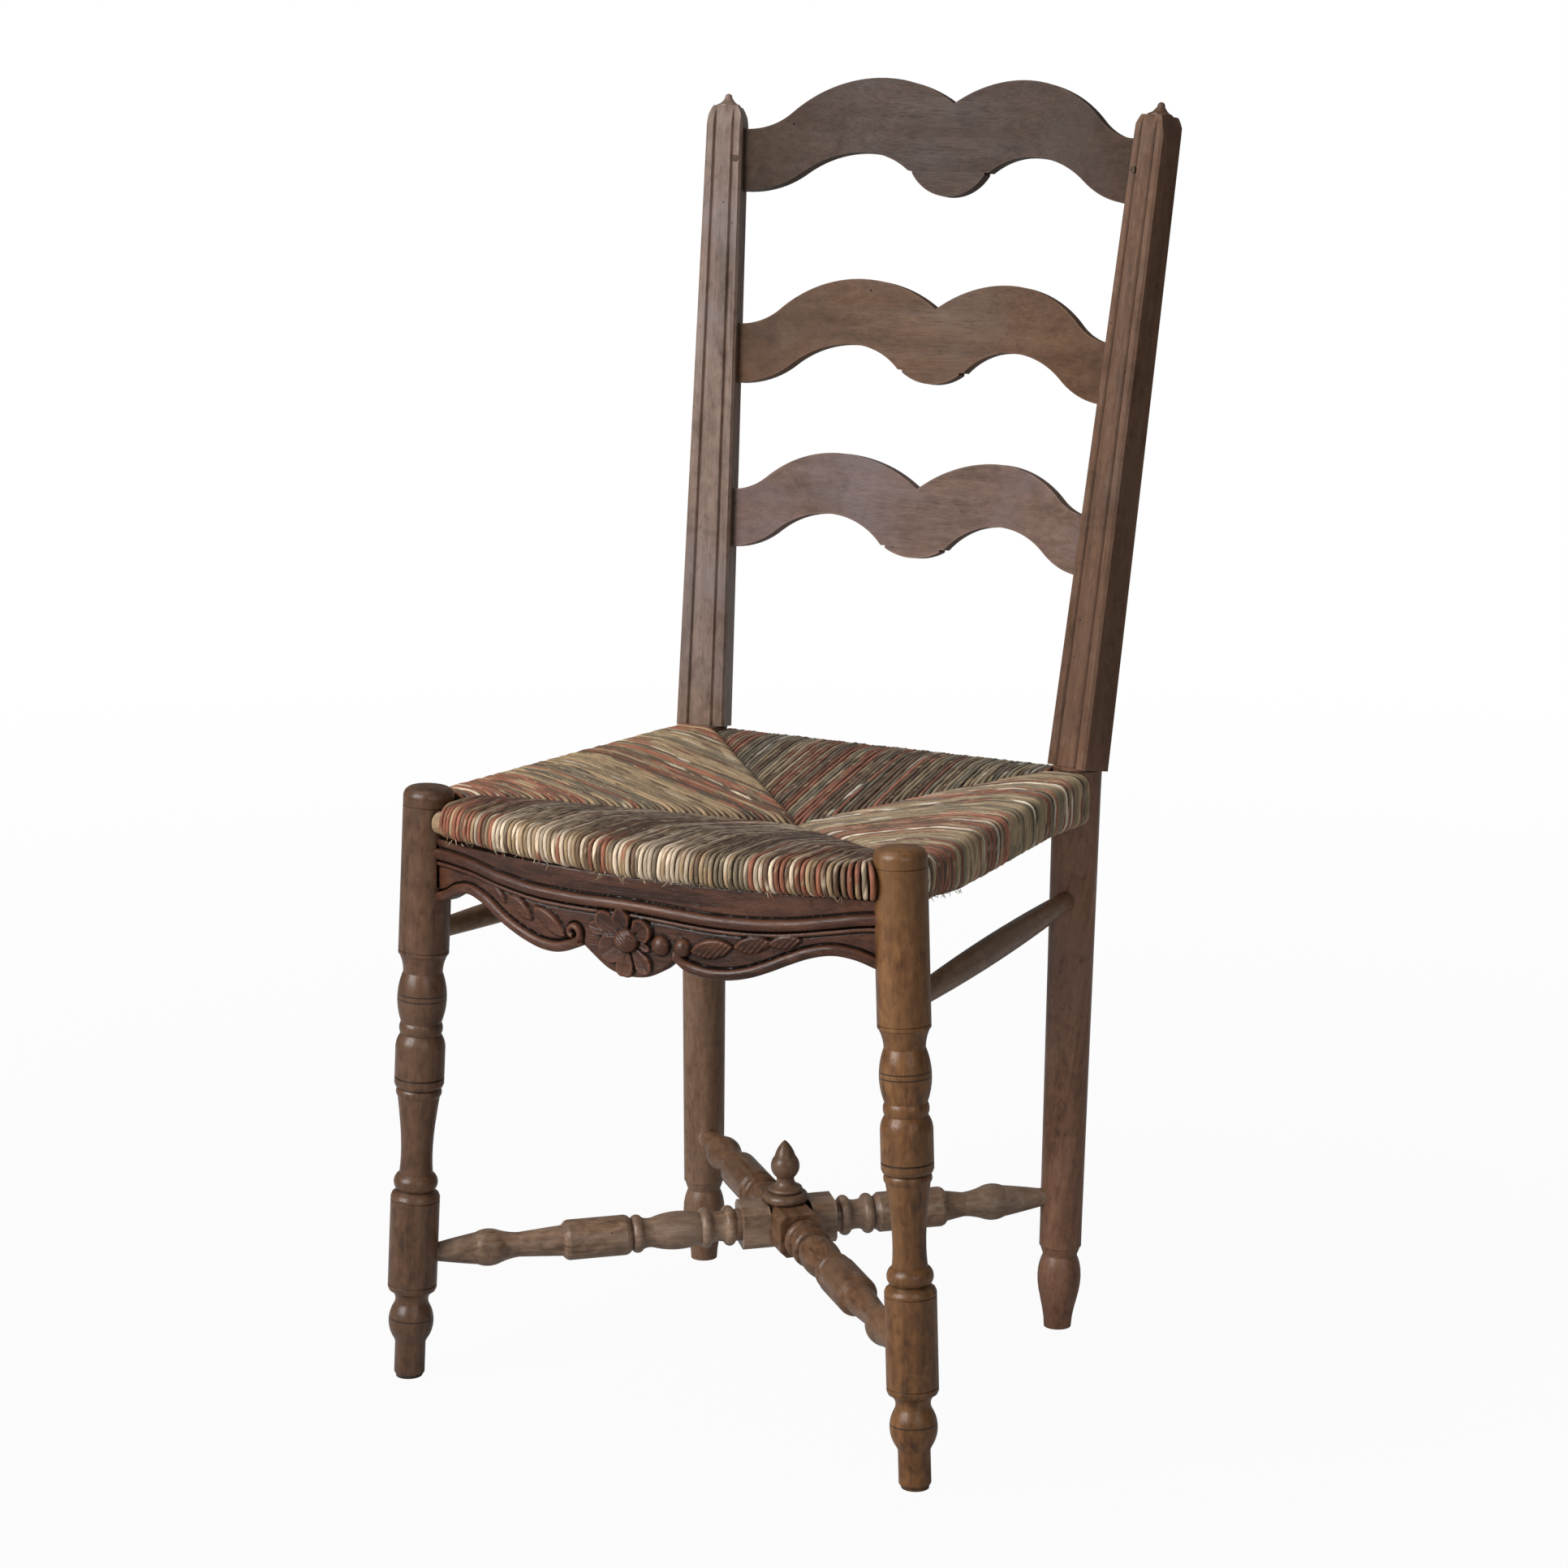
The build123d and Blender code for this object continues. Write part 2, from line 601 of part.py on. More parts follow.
def seat_quad(inset: float) -> list:
    """The corners of the seat between its rails' axes, moved inwards."""
    front, back = side_rail_front[RIGHT], side_rail_back[RIGHT]
    side = back - front
    slope = side.X / side.Y
    sideways = inset * side.length / side.Y
    near, far = front.Y + inset, back.Y - inset
    near_x = front.X + slope * inset - sideways
    far_x = back.X - slope * inset - sideways
    return [(-near_x, near), (near_x, near), (far_x, far), (-far_x, far)]


def quad_face(corners: list, level: float):
    """A four sided face at a level."""
    with BuildSketch(Plane.XY.offset(level)) as face:
        with BuildLine():
            Polyline(*corners, close=True)
        make_face()
    return face.sketch


def sagging_layer(inset: float, shrink: float):
    """The woven panel between the rails, dished on top and sagging below, drawn in by a wall."""
    dish_y = side_rail_front[RIGHT].Y + DISH_CENTRE_SETBACK
    rim = seat_quad(SIDE_RAIL_WIDTH / 2 + RUSH_WALL + DISH_MARGIN)
    flat = [(x * DISH_FLAT_SHARE, dish_y + (y - dish_y) * DISH_FLAT_SHARE) for x, y in rim]
    top = SEAT_HEIGHT - shrink
    bottom = FRONT_ROLL_BOTTOM + shrink
    floor = SEAT_HEIGHT - DISH_DEPTH
    with BuildPart() as layer:
        extrude(quad_face(seat_quad(inset), bottom), amount=top - RUSH_PANEL_DROP - bottom)
        sag = [quad_face(rim, bottom + RUSH_PANEL_DROP), quad_face(flat, floor - DISH_THICKNESS + shrink)]
        loft(sag, ruled=True)
        dish = [quad_face(rim, top), quad_face(flat, floor - shrink)]
        loft(dish, ruled=True, mode=Mode.SUBTRACT)
    return layer.part


def crossing() -> Vector:
    """The point where the two cross stretchers' axes meet."""
    share = cross_front[RIGHT].X / (cross_front[RIGHT].X + cross_back[RIGHT].X)
    return cross_front[RIGHT] + (cross_back[LEFT] - cross_front[RIGHT]) * share


def turn_end(place, barrel_start: float):
    """Draw the end of a cross stretcher, from its tenon's end to the start of its barrel."""
    bead_start, bead_end = CROSS_BULGE - CROSS_BEAD, CROSS_BULGE + CROSS_BEAD
    bead_r = CROSS_BULGE_R - CROSS_BEAD_DROP
    Polyline(
        place(TENON_STOP, 0),
        place(TENON_STOP, STRETCHER_TENON_R),
        place(LEG_BLOCK_R, STRETCHER_TENON_R),
    )
    ThreePointArc(
        place(LEG_BLOCK_R, STRETCHER_TENON_R),
        place((LEG_BLOCK_R + bead_start) / 2, CROSS_COVE_R),
        place(bead_start, bead_r),
    )
    ThreePointArc(place(bead_start, bead_r), place(CROSS_BULGE, CROSS_BULGE_R), place(bead_end, bead_r))
    ThreePointArc(
        place(bead_end, bead_r),
        place((bead_end + CROSS_NECK) / 2, CROSS_WAIST_R),
        place(CROSS_NECK, CROSS_NECK_R),
    )
    Polyline(
        place(CROSS_NECK, CROSS_NECK_R),
        place(barrel_start - EASE, CROSS_FLARE_R),
        place(barrel_start, CROSS_BARREL_R - LIP),
        place(barrel_start + EASE, CROSS_BARREL_R),
    )


def turn_rings(place):
    """Draw the two rings beside the hub of a cross stretcher."""
    half = (CROSS_RING - CROSS_HUB) / 2
    Line(place(CROSS_HUB, CROSS_RING_FOOT_R), place(CROSS_RING - half, CROSS_RING_FOOT_R))
    for ring in (CROSS_RING, CROSS_OUTER_RING):
        ThreePointArc(
            place(ring - half, CROSS_RING_FOOT_R),
            place(ring, CROSS_RING_R),
            place(ring + half, CROSS_RING_FOOT_R),
        )
    ThreePointArc(
        place(CROSS_RING + half, CROSS_RING_FOOT_R),
        place((CROSS_RING + CROSS_OUTER_RING) / 2, CROSS_RING_FOOT_R - LIP),
        place(CROSS_OUTER_RING - half, CROSS_RING_FOOT_R),
    )


os.makedirs("parts", exist_ok=True)

# Front leg on the left, and its mirror image on the right
foot = front_foot[LEFT]
axis = (front_seat[LEFT] - foot).normalized()
foot_top = LEG_FOOT_LENGTH
ball_top = foot_top + LEG_BALL_LENGTH
block_bottom = ball_top + LEG_ANKLE_LENGTH
block_top = block_bottom + LEG_BLOCK_LENGTH
bead_bottom = block_top + LEG_BEVEL_LENGTH
bead_top = bead_bottom + LEG_BEAD_LENGTH
ring_bottom = bead_top + LEG_WAIST_LENGTH
ring_top = ring_bottom + LEG_RING_LENGTH
barrel_bottom = ring_top + LIP
barrel_top = barrel_bottom + LEG_BARREL_LENGTH
collar_top = barrel_top + LEG_COLLAR_LENGTH
neck = collar_top + LEG_BULB_LENGTH
shaft_bottom = neck + LEG_NECK_LENGTH
dome_edge = SEAT_HEIGHT + LEG_DOME_BASE
top = SEAT_HEIGHT + LEG_TOP_RISE
with BuildPart() as front_leg_left:
    with BuildSketch(turning_plane(foot, front_seat[LEFT], BACKWARD)):
        with BuildLine():
            # Foot and ball
            Polyline(
                (0, -EASE),
                (LEG_RIM_R, -EASE),
                (LEG_RIM_R, LIP),
                (LEG_FOOT_R, EASE + LIP),
                (LEG_FOOT_R, foot_top - EASE),
                (LEG_FOOT_R + LIP, foot_top),
            )
            ThreePointArc(
                (LEG_FOOT_R + LIP, foot_top),
                (LEG_BALL_R, (foot_top + ball_top) / 2 + EASE),
                (LEG_ANKLE_R + LIP, ball_top),
            )
            ThreePointArc(
                (LEG_ANKLE_R + LIP, ball_top),
                (LEG_ANKLE_R, (ball_top + block_bottom) / 2),
                (LEG_BLOCK_R - LIP, block_bottom),
            )
            # Long block that takes the cross stretcher, with a line at each end
            Polyline(
                (LEG_BLOCK_R - LIP, block_bottom),
                (LEG_BLOCK_R, block_bottom + EASE),
                *scribe(LEG_BLOCK_R, block_bottom + 2 * EASE),
                *scribe(LEG_BLOCK_R, block_top - 2 * EASE),
                (LEG_BLOCK_R, block_top - EASE),
                (LEG_BLOCK_R - LIP, block_top),
                (LEG_BEAD_FOOT_R, bead_bottom),
            )
            # Bead and waist
            ThreePointArc(
                (LEG_BEAD_FOOT_R, bead_bottom),
                (LEG_BEAD_R, (bead_bottom + bead_top) / 2),
                (LEG_BEAD_FOOT_R, bead_top),
            )
            Line((LEG_BEAD_FOOT_R, bead_top), (LEG_FLARE_R, bead_top + LIP))
            Spline(
                (LEG_FLARE_R, bead_top + LIP),
                (LEG_WAIST_R, bead_top + LEG_WAIST_LENGTH / 6),
                (LEG_FLARE_R, ring_bottom - LEG_WAIST_LENGTH * 4 / 9),
                (LEG_RING_FOOT_R, ring_bottom),
            )
            # Ring, barrel and collar
            ThreePointArc(
                (LEG_RING_FOOT_R, ring_bottom),
                (LEG_RING_R, (ring_bottom + ring_top) / 2),
                (LEG_RING_FOOT_R, ring_top),
            )
            Polyline(
                (LEG_RING_FOOT_R, ring_top),
                (LEG_BARREL_R - LIP, barrel_bottom),
                (LEG_BARREL_R, barrel_bottom + EASE),
                *scribe(LEG_BARREL_R, barrel_bottom + 3 * EASE),
                (LEG_BARREL_R, barrel_top - 3 * EASE),
            )
            ThreePointArc(
                (LEG_BARREL_R, barrel_top - 3 * EASE),
                (LEG_BARREL_R - LIP, barrel_top - EASE),
                (LEG_COLLAR_FOOT_R, barrel_top + EASE),
            )
            ThreePointArc(
                (LEG_COLLAR_FOOT_R, barrel_top + EASE),
                (LEG_COLLAR_R, (barrel_top + EASE + collar_top) / 2),
                (LEG_COLLAR_FOOT_R, collar_top),
            )
            # Bulb and neck
            ThreePointArc(
                (LEG_COLLAR_FOOT_R, collar_top),
                (LEG_BULB_R, (collar_top + neck) / 2),
                (LEG_NECK_R, neck),
            )
            ThreePointArc(
                (LEG_NECK_R, neck),
                (LEG_NECK_R + LIP, (neck + shaft_bottom) / 2),
                (LEG_SHAFT_R - LIP, shaft_bottom - LIP),
            )
            # Shaft past the seat, and its domed top
            Polyline(
                (LEG_SHAFT_R - LIP, shaft_bottom - LIP),
                (LEG_SHAFT_R, shaft_bottom),
                *scribe(LEG_SHAFT_R, shaft_bottom + EASE),
                *scribe(LEG_SHAFT_R, SEAT_HEIGHT - EASE),
                (LEG_SHAFT_R, dome_edge),
            )
            ThreePointArc(
                (LEG_SHAFT_R, dome_edge),
                (LEG_SHAFT_R - 2 * LIP, dome_edge + 2 * EASE),
                (LEG_CROWN_R, top - LEG_CROWN_DROP),
            )
            ThreePointArc(
                (LEG_CROWN_R, top - LEG_CROWN_DROP),
                (LEG_CROWN_R / 2, top - LEG_CROWN_DROP / 4),
                (TIP_R, top),
            )
            Polyline((TIP_R, top), (0, top), (0, -EASE))
        make_face()
    revolve(axis=Axis(foot, axis))
    split(bisect_by=Plane.XY, keep=Keep.TOP)
    # Mortises for the front rail, the side rail, both stretchers and the apron
    shoulder = LEFT * (rail_bow.half_angle - LEG_SHAFT_R / rail_bow.radius)
    drill(front_rail_end[LEFT], rail_bow.point(-shoulder), RAIL_TENON_R)
    drill(side_rail_front[LEFT], side_rail_back[LEFT], RAIL_TENON_R)
    drill(stretcher_front[LEFT], stretcher_back[LEFT], STRETCHER_TENON_R)
    drill(cross_front[LEFT], cross_back[RIGHT], STRETCHER_TENON_R)
    add(apron_tenon(LEFT, FIT), mode=Mode.SUBTRACT)
front_leg_left.part.label = "front_leg_left"
export_step(front_leg_left.part, "parts/front_leg_left.step")

with BuildPart() as front_leg_right:
    mirror(front_leg_left.part, about=Plane.YZ)
front_leg_right.part.label = "front_leg_right"
export_step(front_leg_right.part, "parts/front_leg_right.step")

# Rear post on the left, and its mirror image on the right
foot = rear_foot[LEFT]
seat = rear_seat[LEFT]
leg_axis = (seat - foot).normalized()
lean = (rear_tip[LEFT] - seat).normalized()
length = (rear_tip[LEFT] - seat).length
shoulder_top = length - POST_POINT_HEIGHT
shoulder_base = shoulder_top - POST_SHOULDER
base_plane = post_plane(LEFT)
with BuildPart() as rear_post_left:
    # Square part, tapering to the top, with eased corners
    add(post_blank(LEFT))
    # Point
    with BuildSketch(turning_plane(seat, rear_tip[LEFT], base_plane.x_dir + BACKWARD)):
        with BuildLine():
            Polyline(
                (0, shoulder_base),
                (POST_POINT_WAIST_R, shoulder_base),
                (POST_POINT_R, shoulder_top - LIP),
                (POST_POINT_R, shoulder_top + LIP),
            )
            ThreePointArc(
                (POST_POINT_R, shoulder_top + LIP),
                (POST_POINT_WAIST_R, length - POST_POINT_HEIGHT * 3 / 5),
                (POST_POINT_NECK_R, length - POST_POINT_HEIGHT * 3 / 10),
            )
            ThreePointArc(
                (POST_POINT_NECK_R, length - POST_POINT_HEIGHT * 3 / 10),
                (POST_POINT_KNOB_R, length - POST_POINT_HEIGHT / 10),
                (TIP_R, length),
            )
            Polyline((TIP_R, length), (0, length), (0, shoulder_base))
        make_face()
    revolve(axis=Axis(seat, lean))
    # Two grooves down the front
    for share in (-1, 1):
        low = base_plane.from_local_coords(Vector(share * POST_WIDTH / 4, -POST_DEPTH / 2, -EASE))
        high = base_plane.from_local_coords(
            Vector(share * POST_TOP_WIDTH / 4, -POST_TOP_DEPTH / 2, shoulder_top)
        )
        with BuildSketch(Plane(origin=low, x_dir=base_plane.x_dir, z_dir=high - low)) as groove:
            Rectangle(2 * POST_GROOVE, 2 * POST_GROOVE, rotation=45)
        extrude(groove.sketch, amount=(high - low).length + POST_SHOULDER, mode=Mode.SUBTRACT)
    # Round lower leg, let a little way into the square part
    leg_bottom = POST_FOOT_LENGTH + POST_ANKLE_LENGTH
    leg_top = (seat - foot).length + EASE
    with BuildSketch(turning_plane(foot, seat, BACKWARD)):
        with BuildLine():
            Line((0, -EASE), (POST_FOOT_R, -EASE))
            Spline(
                (POST_FOOT_R, -EASE),
                (POST_FOOT_R + LIP, POST_FOOT_LENGTH / 6),
                (POST_VASE_R, POST_FOOT_LENGTH * 2 / 3 + EASE),
                (POST_ANKLE_R, POST_FOOT_LENGTH),
                tangents=((0, 1), (-1, 2)),
            )
            ThreePointArc(
                (POST_ANKLE_R, POST_FOOT_LENGTH),
                (POST_ANKLE_R + LIP, POST_FOOT_LENGTH + EASE),
                (POST_LEG_R - LIP, leg_bottom - LIP),
            )
            Polyline(
                (POST_LEG_R - LIP, leg_bottom - LIP),
                (POST_LEG_R, leg_bottom),
                (POST_SEAT_R, leg_top),
                (0, leg_top),
                (0, -EASE),
            )
        make_face()
    revolve(axis=Axis(foot, leg_axis))
    split(bisect_by=Plane.XY, keep=Keep.TOP)
    # Mortises for the slats, the rails and both stretchers
    for slat in SLATS:
        add(slat_tenon(slat, FIT).mirror(Plane.YZ), mode=Mode.SUBTRACT)
    add(crest_peg(LEFT, CREST_PEG_R + FIT, POST_DEPTH), mode=Mode.SUBTRACT)
    drill(side_rail_back[LEFT], side_rail_front[LEFT], RAIL_TENON_R)
    drill(back_rail_end[LEFT], back_rail_end[RIGHT], RAIL_TENON_R)
    drill(stretcher_back[LEFT], stretcher_front[LEFT], STRETCHER_TENON_R)
    drill(cross_back[LEFT], cross_front[RIGHT], STRETCHER_TENON_R)
rear_post_left.part.label = "rear_post_left"
export_step(rear_post_left.part, "parts/rear_post_left.step")

with BuildPart() as rear_post_right:
    mirror(rear_post_left.part, about=Plane.YZ)
rear_post_right.part.label = "rear_post_right"
export_step(rear_post_right.part, "parts/rear_post_right.step")

# Slats, shouldered against the posts
for slat in SLATS:
    bow = slat_bow(slat)
    reach = bow.point(bow.half_angle).X
    tall = slat.peak + POST_WIDTH
    face_plane = Plane(origin=bow.point(0), x_dir=(1, 0, 0), z_dir=-back_crown)
    with BuildPart() as board:
        extrude(bowed_strip(bow, SLAT_THICKNESS, -bow.half_angle, bow.half_angle), amount=tall, both=True)
        with BuildSketch(face_plane):
            with BuildLine():
                slat_edge(slat, reach)
                mirror(about=Plane.YZ)
            make_face()
        extrude(amount=2 * slat.bow + SLAT_THICKNESS, both=True, mode=Mode.INTERSECT)
        for sign in SIDES.values():
            add(post_blank(sign), mode=Mode.SUBTRACT)
        tenon = slat_tenon(slat, 0)
        add(tenon)
        add(tenon.mirror(Plane.YZ))
        if slat is SLATS[0]:
            for sign in SIDES.values():
                add(crest_peg(sign, CREST_PEG_R + FIT, POST_DEPTH), mode=Mode.SUBTRACT)
    board.part.label = slat.name
    export_step(board.part, f"parts/{slat.name}.step")

# Pegs through the crest's tenons
with BuildPart() as crest_pegs:
    for sign in SIDES.values():
        add(crest_peg(sign, CREST_PEG_R, CREST_PEG_PROUD))
crest_pegs.part.label = "crest_pegs"
export_step(crest_pegs.part, "parts/crest_pegs.step")

# Seat rails
with BuildPart() as seat_rail_front:
    bowed_rail(rail_bow, 0, LEG_SHAFT_R + RAIL_SHOULDER)
    for sign in SIDES.values():
        shoulder = -sign * (rail_bow.half_angle - LEG_SHAFT_R / rail_bow.radius)
        tenon_end = front_rail_end[sign]
        inward = rail_bow.point(shoulder)
        tip = tenon_end + (inward - tenon_end).normalized() * TENON_STOP
        extrude(round_section(tip, inward, RAIL_TENON_R), amount=LEG_SHAFT_R)
seat_rail_front.part.label = "seat_rail_front"
export_step(seat_rail_front.part, "parts/seat_rail_front.step")

for rail in STRAIGHT_RAILS:
    along = (rail.end - rail.start).normalized()
    with BuildPart() as seat_rail:
        straight_rail(rail, 0, LEG_SHAFT_R + RAIL_SHOULDER)
        extrude(
            round_section(rail.start + along * TENON_STOP, rail.end, RAIL_TENON_R),
            amount=(rail.end - rail.start).length - 2 * TENON_STOP,
        )
    seat_rail.part.label = rail.name
    export_step(seat_rail.part, f"parts/{rail.name}.step")

# Apron under the front rail
with BuildPart() as front_apron:
    board_strip = bowed_strip(apron_bow, APRON_THICKNESS, -apron_bow.half_angle, apron_bow.half_angle)
    extrude(board_strip, amount=-APRON_MIDDLE_DROP - LEG_SHAFT_R)
    with BuildSketch(Plane(origin=(0, 0, APRON_TOP), x_dir=(1, 0, 0), z_dir=FORWARD)):
        reach = FRONT_FOOT_SPREAD / 2
        left_arch = (APRON_LEFT_ARCH, -APRON_LEFT_ARCH_DROP)
        left_sweep = (APRON_LEFT_SWEEP, -APRON_LEFT_SWEEP_DROP)
        left_lobe = (APRON_LEFT_LOBE, -APRON_LEFT_LOBE_DROP)
        left_notch = (-APRON_NOTCH, -APRON_NOTCH_DROP)
        right_notch = (APRON_NOTCH, -APRON_NOTCH_DROP)
        right_lobe = (APRON_RIGHT_LOBE, -APRON_RIGHT_LOBE_DROP)
        right_sweep = (APRON_RIGHT_SWEEP, -APRON_RIGHT_SWEEP_DROP)
        right_arch = (APRON_RIGHT_ARCH, -APRON_RIGHT_ARCH_DROP)
        with BuildLine():
            Polyline(
                (reach, -APRON_RIGHT_END_DROP),
                (reach, 0),
                (-reach, 0),
                (-reach, -APRON_LEFT_END_DROP),
                (-FRONT_SEAT_SPREAD / 2 + LEG_SHAFT_R, -APRON_LEFT_END_DROP),
            )
            Spline(
                (-FRONT_SEAT_SPREAD / 2 + LEG_SHAFT_R, -APRON_LEFT_END_DROP),
                left_arch,
                left_sweep,
                left_lobe,
                left_notch,
            )
            ThreePointArc(left_notch, (0, -APRON_MIDDLE_DROP), right_notch)
            Spline(
                right_notch,
                right_lobe,
                right_sweep,
                right_arch,
                (FRONT_SEAT_SPREAD / 2 - LEG_SHAFT_R, -APRON_RIGHT_END_DROP),
            )
            Line(
                (FRONT_SEAT_SPREAD / 2 - LEG_SHAFT_R, -APRON_RIGHT_END_DROP),
                (reach, -APRON_RIGHT_END_DROP),
            )
        make_face()
    extrude(amount=-FRONT_FOOT_Y + FRONT_BOW + APRON_THICKNESS, mode=Mode.INTERSECT)
    # Bead along the front
    bead_start = apron_bow.point(apron_bow.half_angle, apron_bow.radius + APRON_THICKNESS / 2)
    outward = (bead_start - apron_bow.plane.origin).normalized()
    bead_plane = Plane(
        origin=bead_start - UP * APRON_BEAD_DROP, x_dir=outward, z_dir=outward.cross(UP)
    )
    with BuildSketch(bead_plane):
        Circle(APRON_BEAD_R)
    revolve(
        axis=Axis(apron_bow.plane.origin, UP), revolution_arc=2 * degrees(apron_bow.half_angle)
    )
    for sign in SIDES.values():
        leg_bore(sign)
        add(apron_tenon(sign, 0))
front_apron.part.label = "front_apron"
export_step(front_apron.part, "parts/front_apron.step")

# Side stretchers
for side, sign in SIDES.items():
    start, end = stretcher_front[sign], stretcher_back[sign]
    length = (end - start).length
    with BuildPart() as side_stretcher:
        with BuildSketch(turning_plane(start, end, UP)):
            with BuildLine():
                Polyline(
                    (0, length - TENON_STOP),
                    (0, TENON_STOP),
                    (STRETCHER_TENON_R, TENON_STOP),
                    (STRETCHER_TENON_R, LEG_SHAFT_R),
                )
                ThreePointArc(
                    (STRETCHER_TENON_R, LEG_SHAFT_R),
                    (SIDE_STRETCHER_R, length / 2),
                    (STRETCHER_TENON_R, length - LEG_SHAFT_R),
                )
                Polyline(
                    (STRETCHER_TENON_R, length - LEG_SHAFT_R),
                    (STRETCHER_TENON_R, length - TENON_STOP),
                    (0, length - TENON_STOP),
                )
            make_face()
        revolve(axis=Axis(start, end - start))
    side_stretcher.part.label = f"side_stretcher_{side}"
    export_step(side_stretcher.part, f"parts/side_stretcher_{side}.step")

# Cross stretchers, half lapped through their square hubs; each is named after its front end
centre = crossing()
rise = (cross_back[RIGHT] - cross_front[LEFT]).cross(cross_back[LEFT] - cross_front[RIGHT]).normalized()
hub_top = centre + rise * (CROSS_HUB_WIDTH / 2)
for side, sign in SIDES.items():
    start, end = cross_front[sign], cross_back[-sign]
    along = (end - start).normalized()
    other = (cross_back[sign] - cross_front[-sign]).normalized()
    total = (end - start).length
    middle = (centre - start).length
    ring_edge = CROSS_OUTER_RING + (CROSS_RING - CROSS_HUB) / 2

    def from_front(distance: float, radius: float) -> tuple:
        """A profile point measured from the front leg's axis."""
        return (radius, distance)

    def from_back(distance: float, radius: float) -> tuple:
        """A profile point measured from the rear post's axis."""
        return (radius, total - distance)

    def ahead(distance: float, radius: float) -> tuple:
        """A profile point measured from the crossing towards the front."""
        return (radius, middle - distance)

    def behind(distance: float, radius: float) -> tuple:
        """A profile point measured from the crossing towards the back."""
        return (radius, middle + distance)

    with BuildPart() as cross_stretcher:
        with BuildSketch(turning_plane(start, end, UP)):
            with BuildLine():
                turn_end(from_front, CROSS_FRONT_BARREL_START)
                Polyline(
                    from_front(CROSS_FRONT_BARREL_START + EASE, CROSS_BARREL_R),
                    ahead(CROSS_BARREL_STOP + EASE, CROSS_BARREL_R),
                    ahead(CROSS_BARREL_STOP, CROSS_BARREL_R - LIP),
                    ahead(CROSS_BARREL_STOP - EASE, CROSS_VASE_NECK_R + LIP),
                )
                bead_foot = CROSS_VASE_NECK + 3 * EASE
                ThreePointArc(
                    ahead(CROSS_BARREL_STOP - EASE, CROSS_VASE_NECK_R + LIP),
                    ahead((CROSS_BARREL_STOP - EASE + bead_foot) / 2, CROSS_VASE_R),
                    ahead(bead_foot, CROSS_VASE_NECK_R + LIP),
                )
                ThreePointArc(
                    ahead(bead_foot, CROSS_VASE_NECK_R + LIP),
                    ahead(CROSS_VASE_NECK + EASE, CROSS_VASE_NECK_R),
                    ahead(CROSS_VASE_NECK - EASE, CROSS_VASE_NECK_R + LIP),
                )
                ThreePointArc(
                    ahead(CROSS_VASE_NECK - EASE, CROSS_VASE_NECK_R + LIP),
                    ahead(CROSS_VASE, CROSS_VASE_R),
                    ahead(ring_edge, CROSS_RING_FOOT_R),
                )
                turn_rings(ahead)
                Line(ahead(CROSS_HUB, CROSS_RING_FOOT_R), behind(CROSS_HUB, CROSS_RING_FOOT_R))
                turn_rings(behind)
                Polyline(
                    behind(ring_edge, CROSS_RING_FOOT_R),
                    behind(ring_edge + EASE, CROSS_BARREL_R - 2 * LIP),
                    behind(ring_edge + 2 * EASE, CROSS_BARREL_R),
                    from_back(CROSS_BACK_BARREL_START + EASE, CROSS_BARREL_R),
                )
                turn_end(from_back, CROSS_BACK_BARREL_START)
                Line(from_front(TENON_STOP, 0), from_back(TENON_STOP, 0))
            make_face()
        revolve(axis=Axis(start, along))
        # Square hub
        hub_plane = Plane(origin=centre - along * CROSS_HUB, x_dir=rise.cross(along), z_dir=along)
        with BuildSketch(hub_plane):
            Rectangle(CROSS_HUB_WIDTH, CROSS_HUB_WIDTH)
            chamfer(vertices(), CROSS_HUB_CHAMFER)
        extrude(amount=2 * CROSS_HUB)
        # Half lap: the left one keeps its lower half, the right one its upper half
        lap_plane = Plane(origin=centre - other * CROSS_HUB, x_dir=rise.cross(other), z_dir=other)
        lap_side = Align.MIN if sign == LEFT else Align.MAX
        with BuildSketch(lap_plane):
            Rectangle(
                CROSS_HUB_WIDTH + 2 * FIT, CROSS_HUB_WIDTH, align=(Align.CENTER, lap_side)
            )
        extrude(amount=2 * CROSS_HUB, mode=Mode.SUBTRACT)
        # Socket of the finial
        socket = round_section(hub_top, centre, FINIAL_TENON_R + FIT)
        extrude(socket, amount=FINIAL_TENON_LENGTH + FIT, mode=Mode.SUBTRACT)
    cross_stretcher.part.label = f"cross_stretcher_{side}"
    export_step(cross_stretcher.part, f"parts/cross_stretcher_{side}.step")

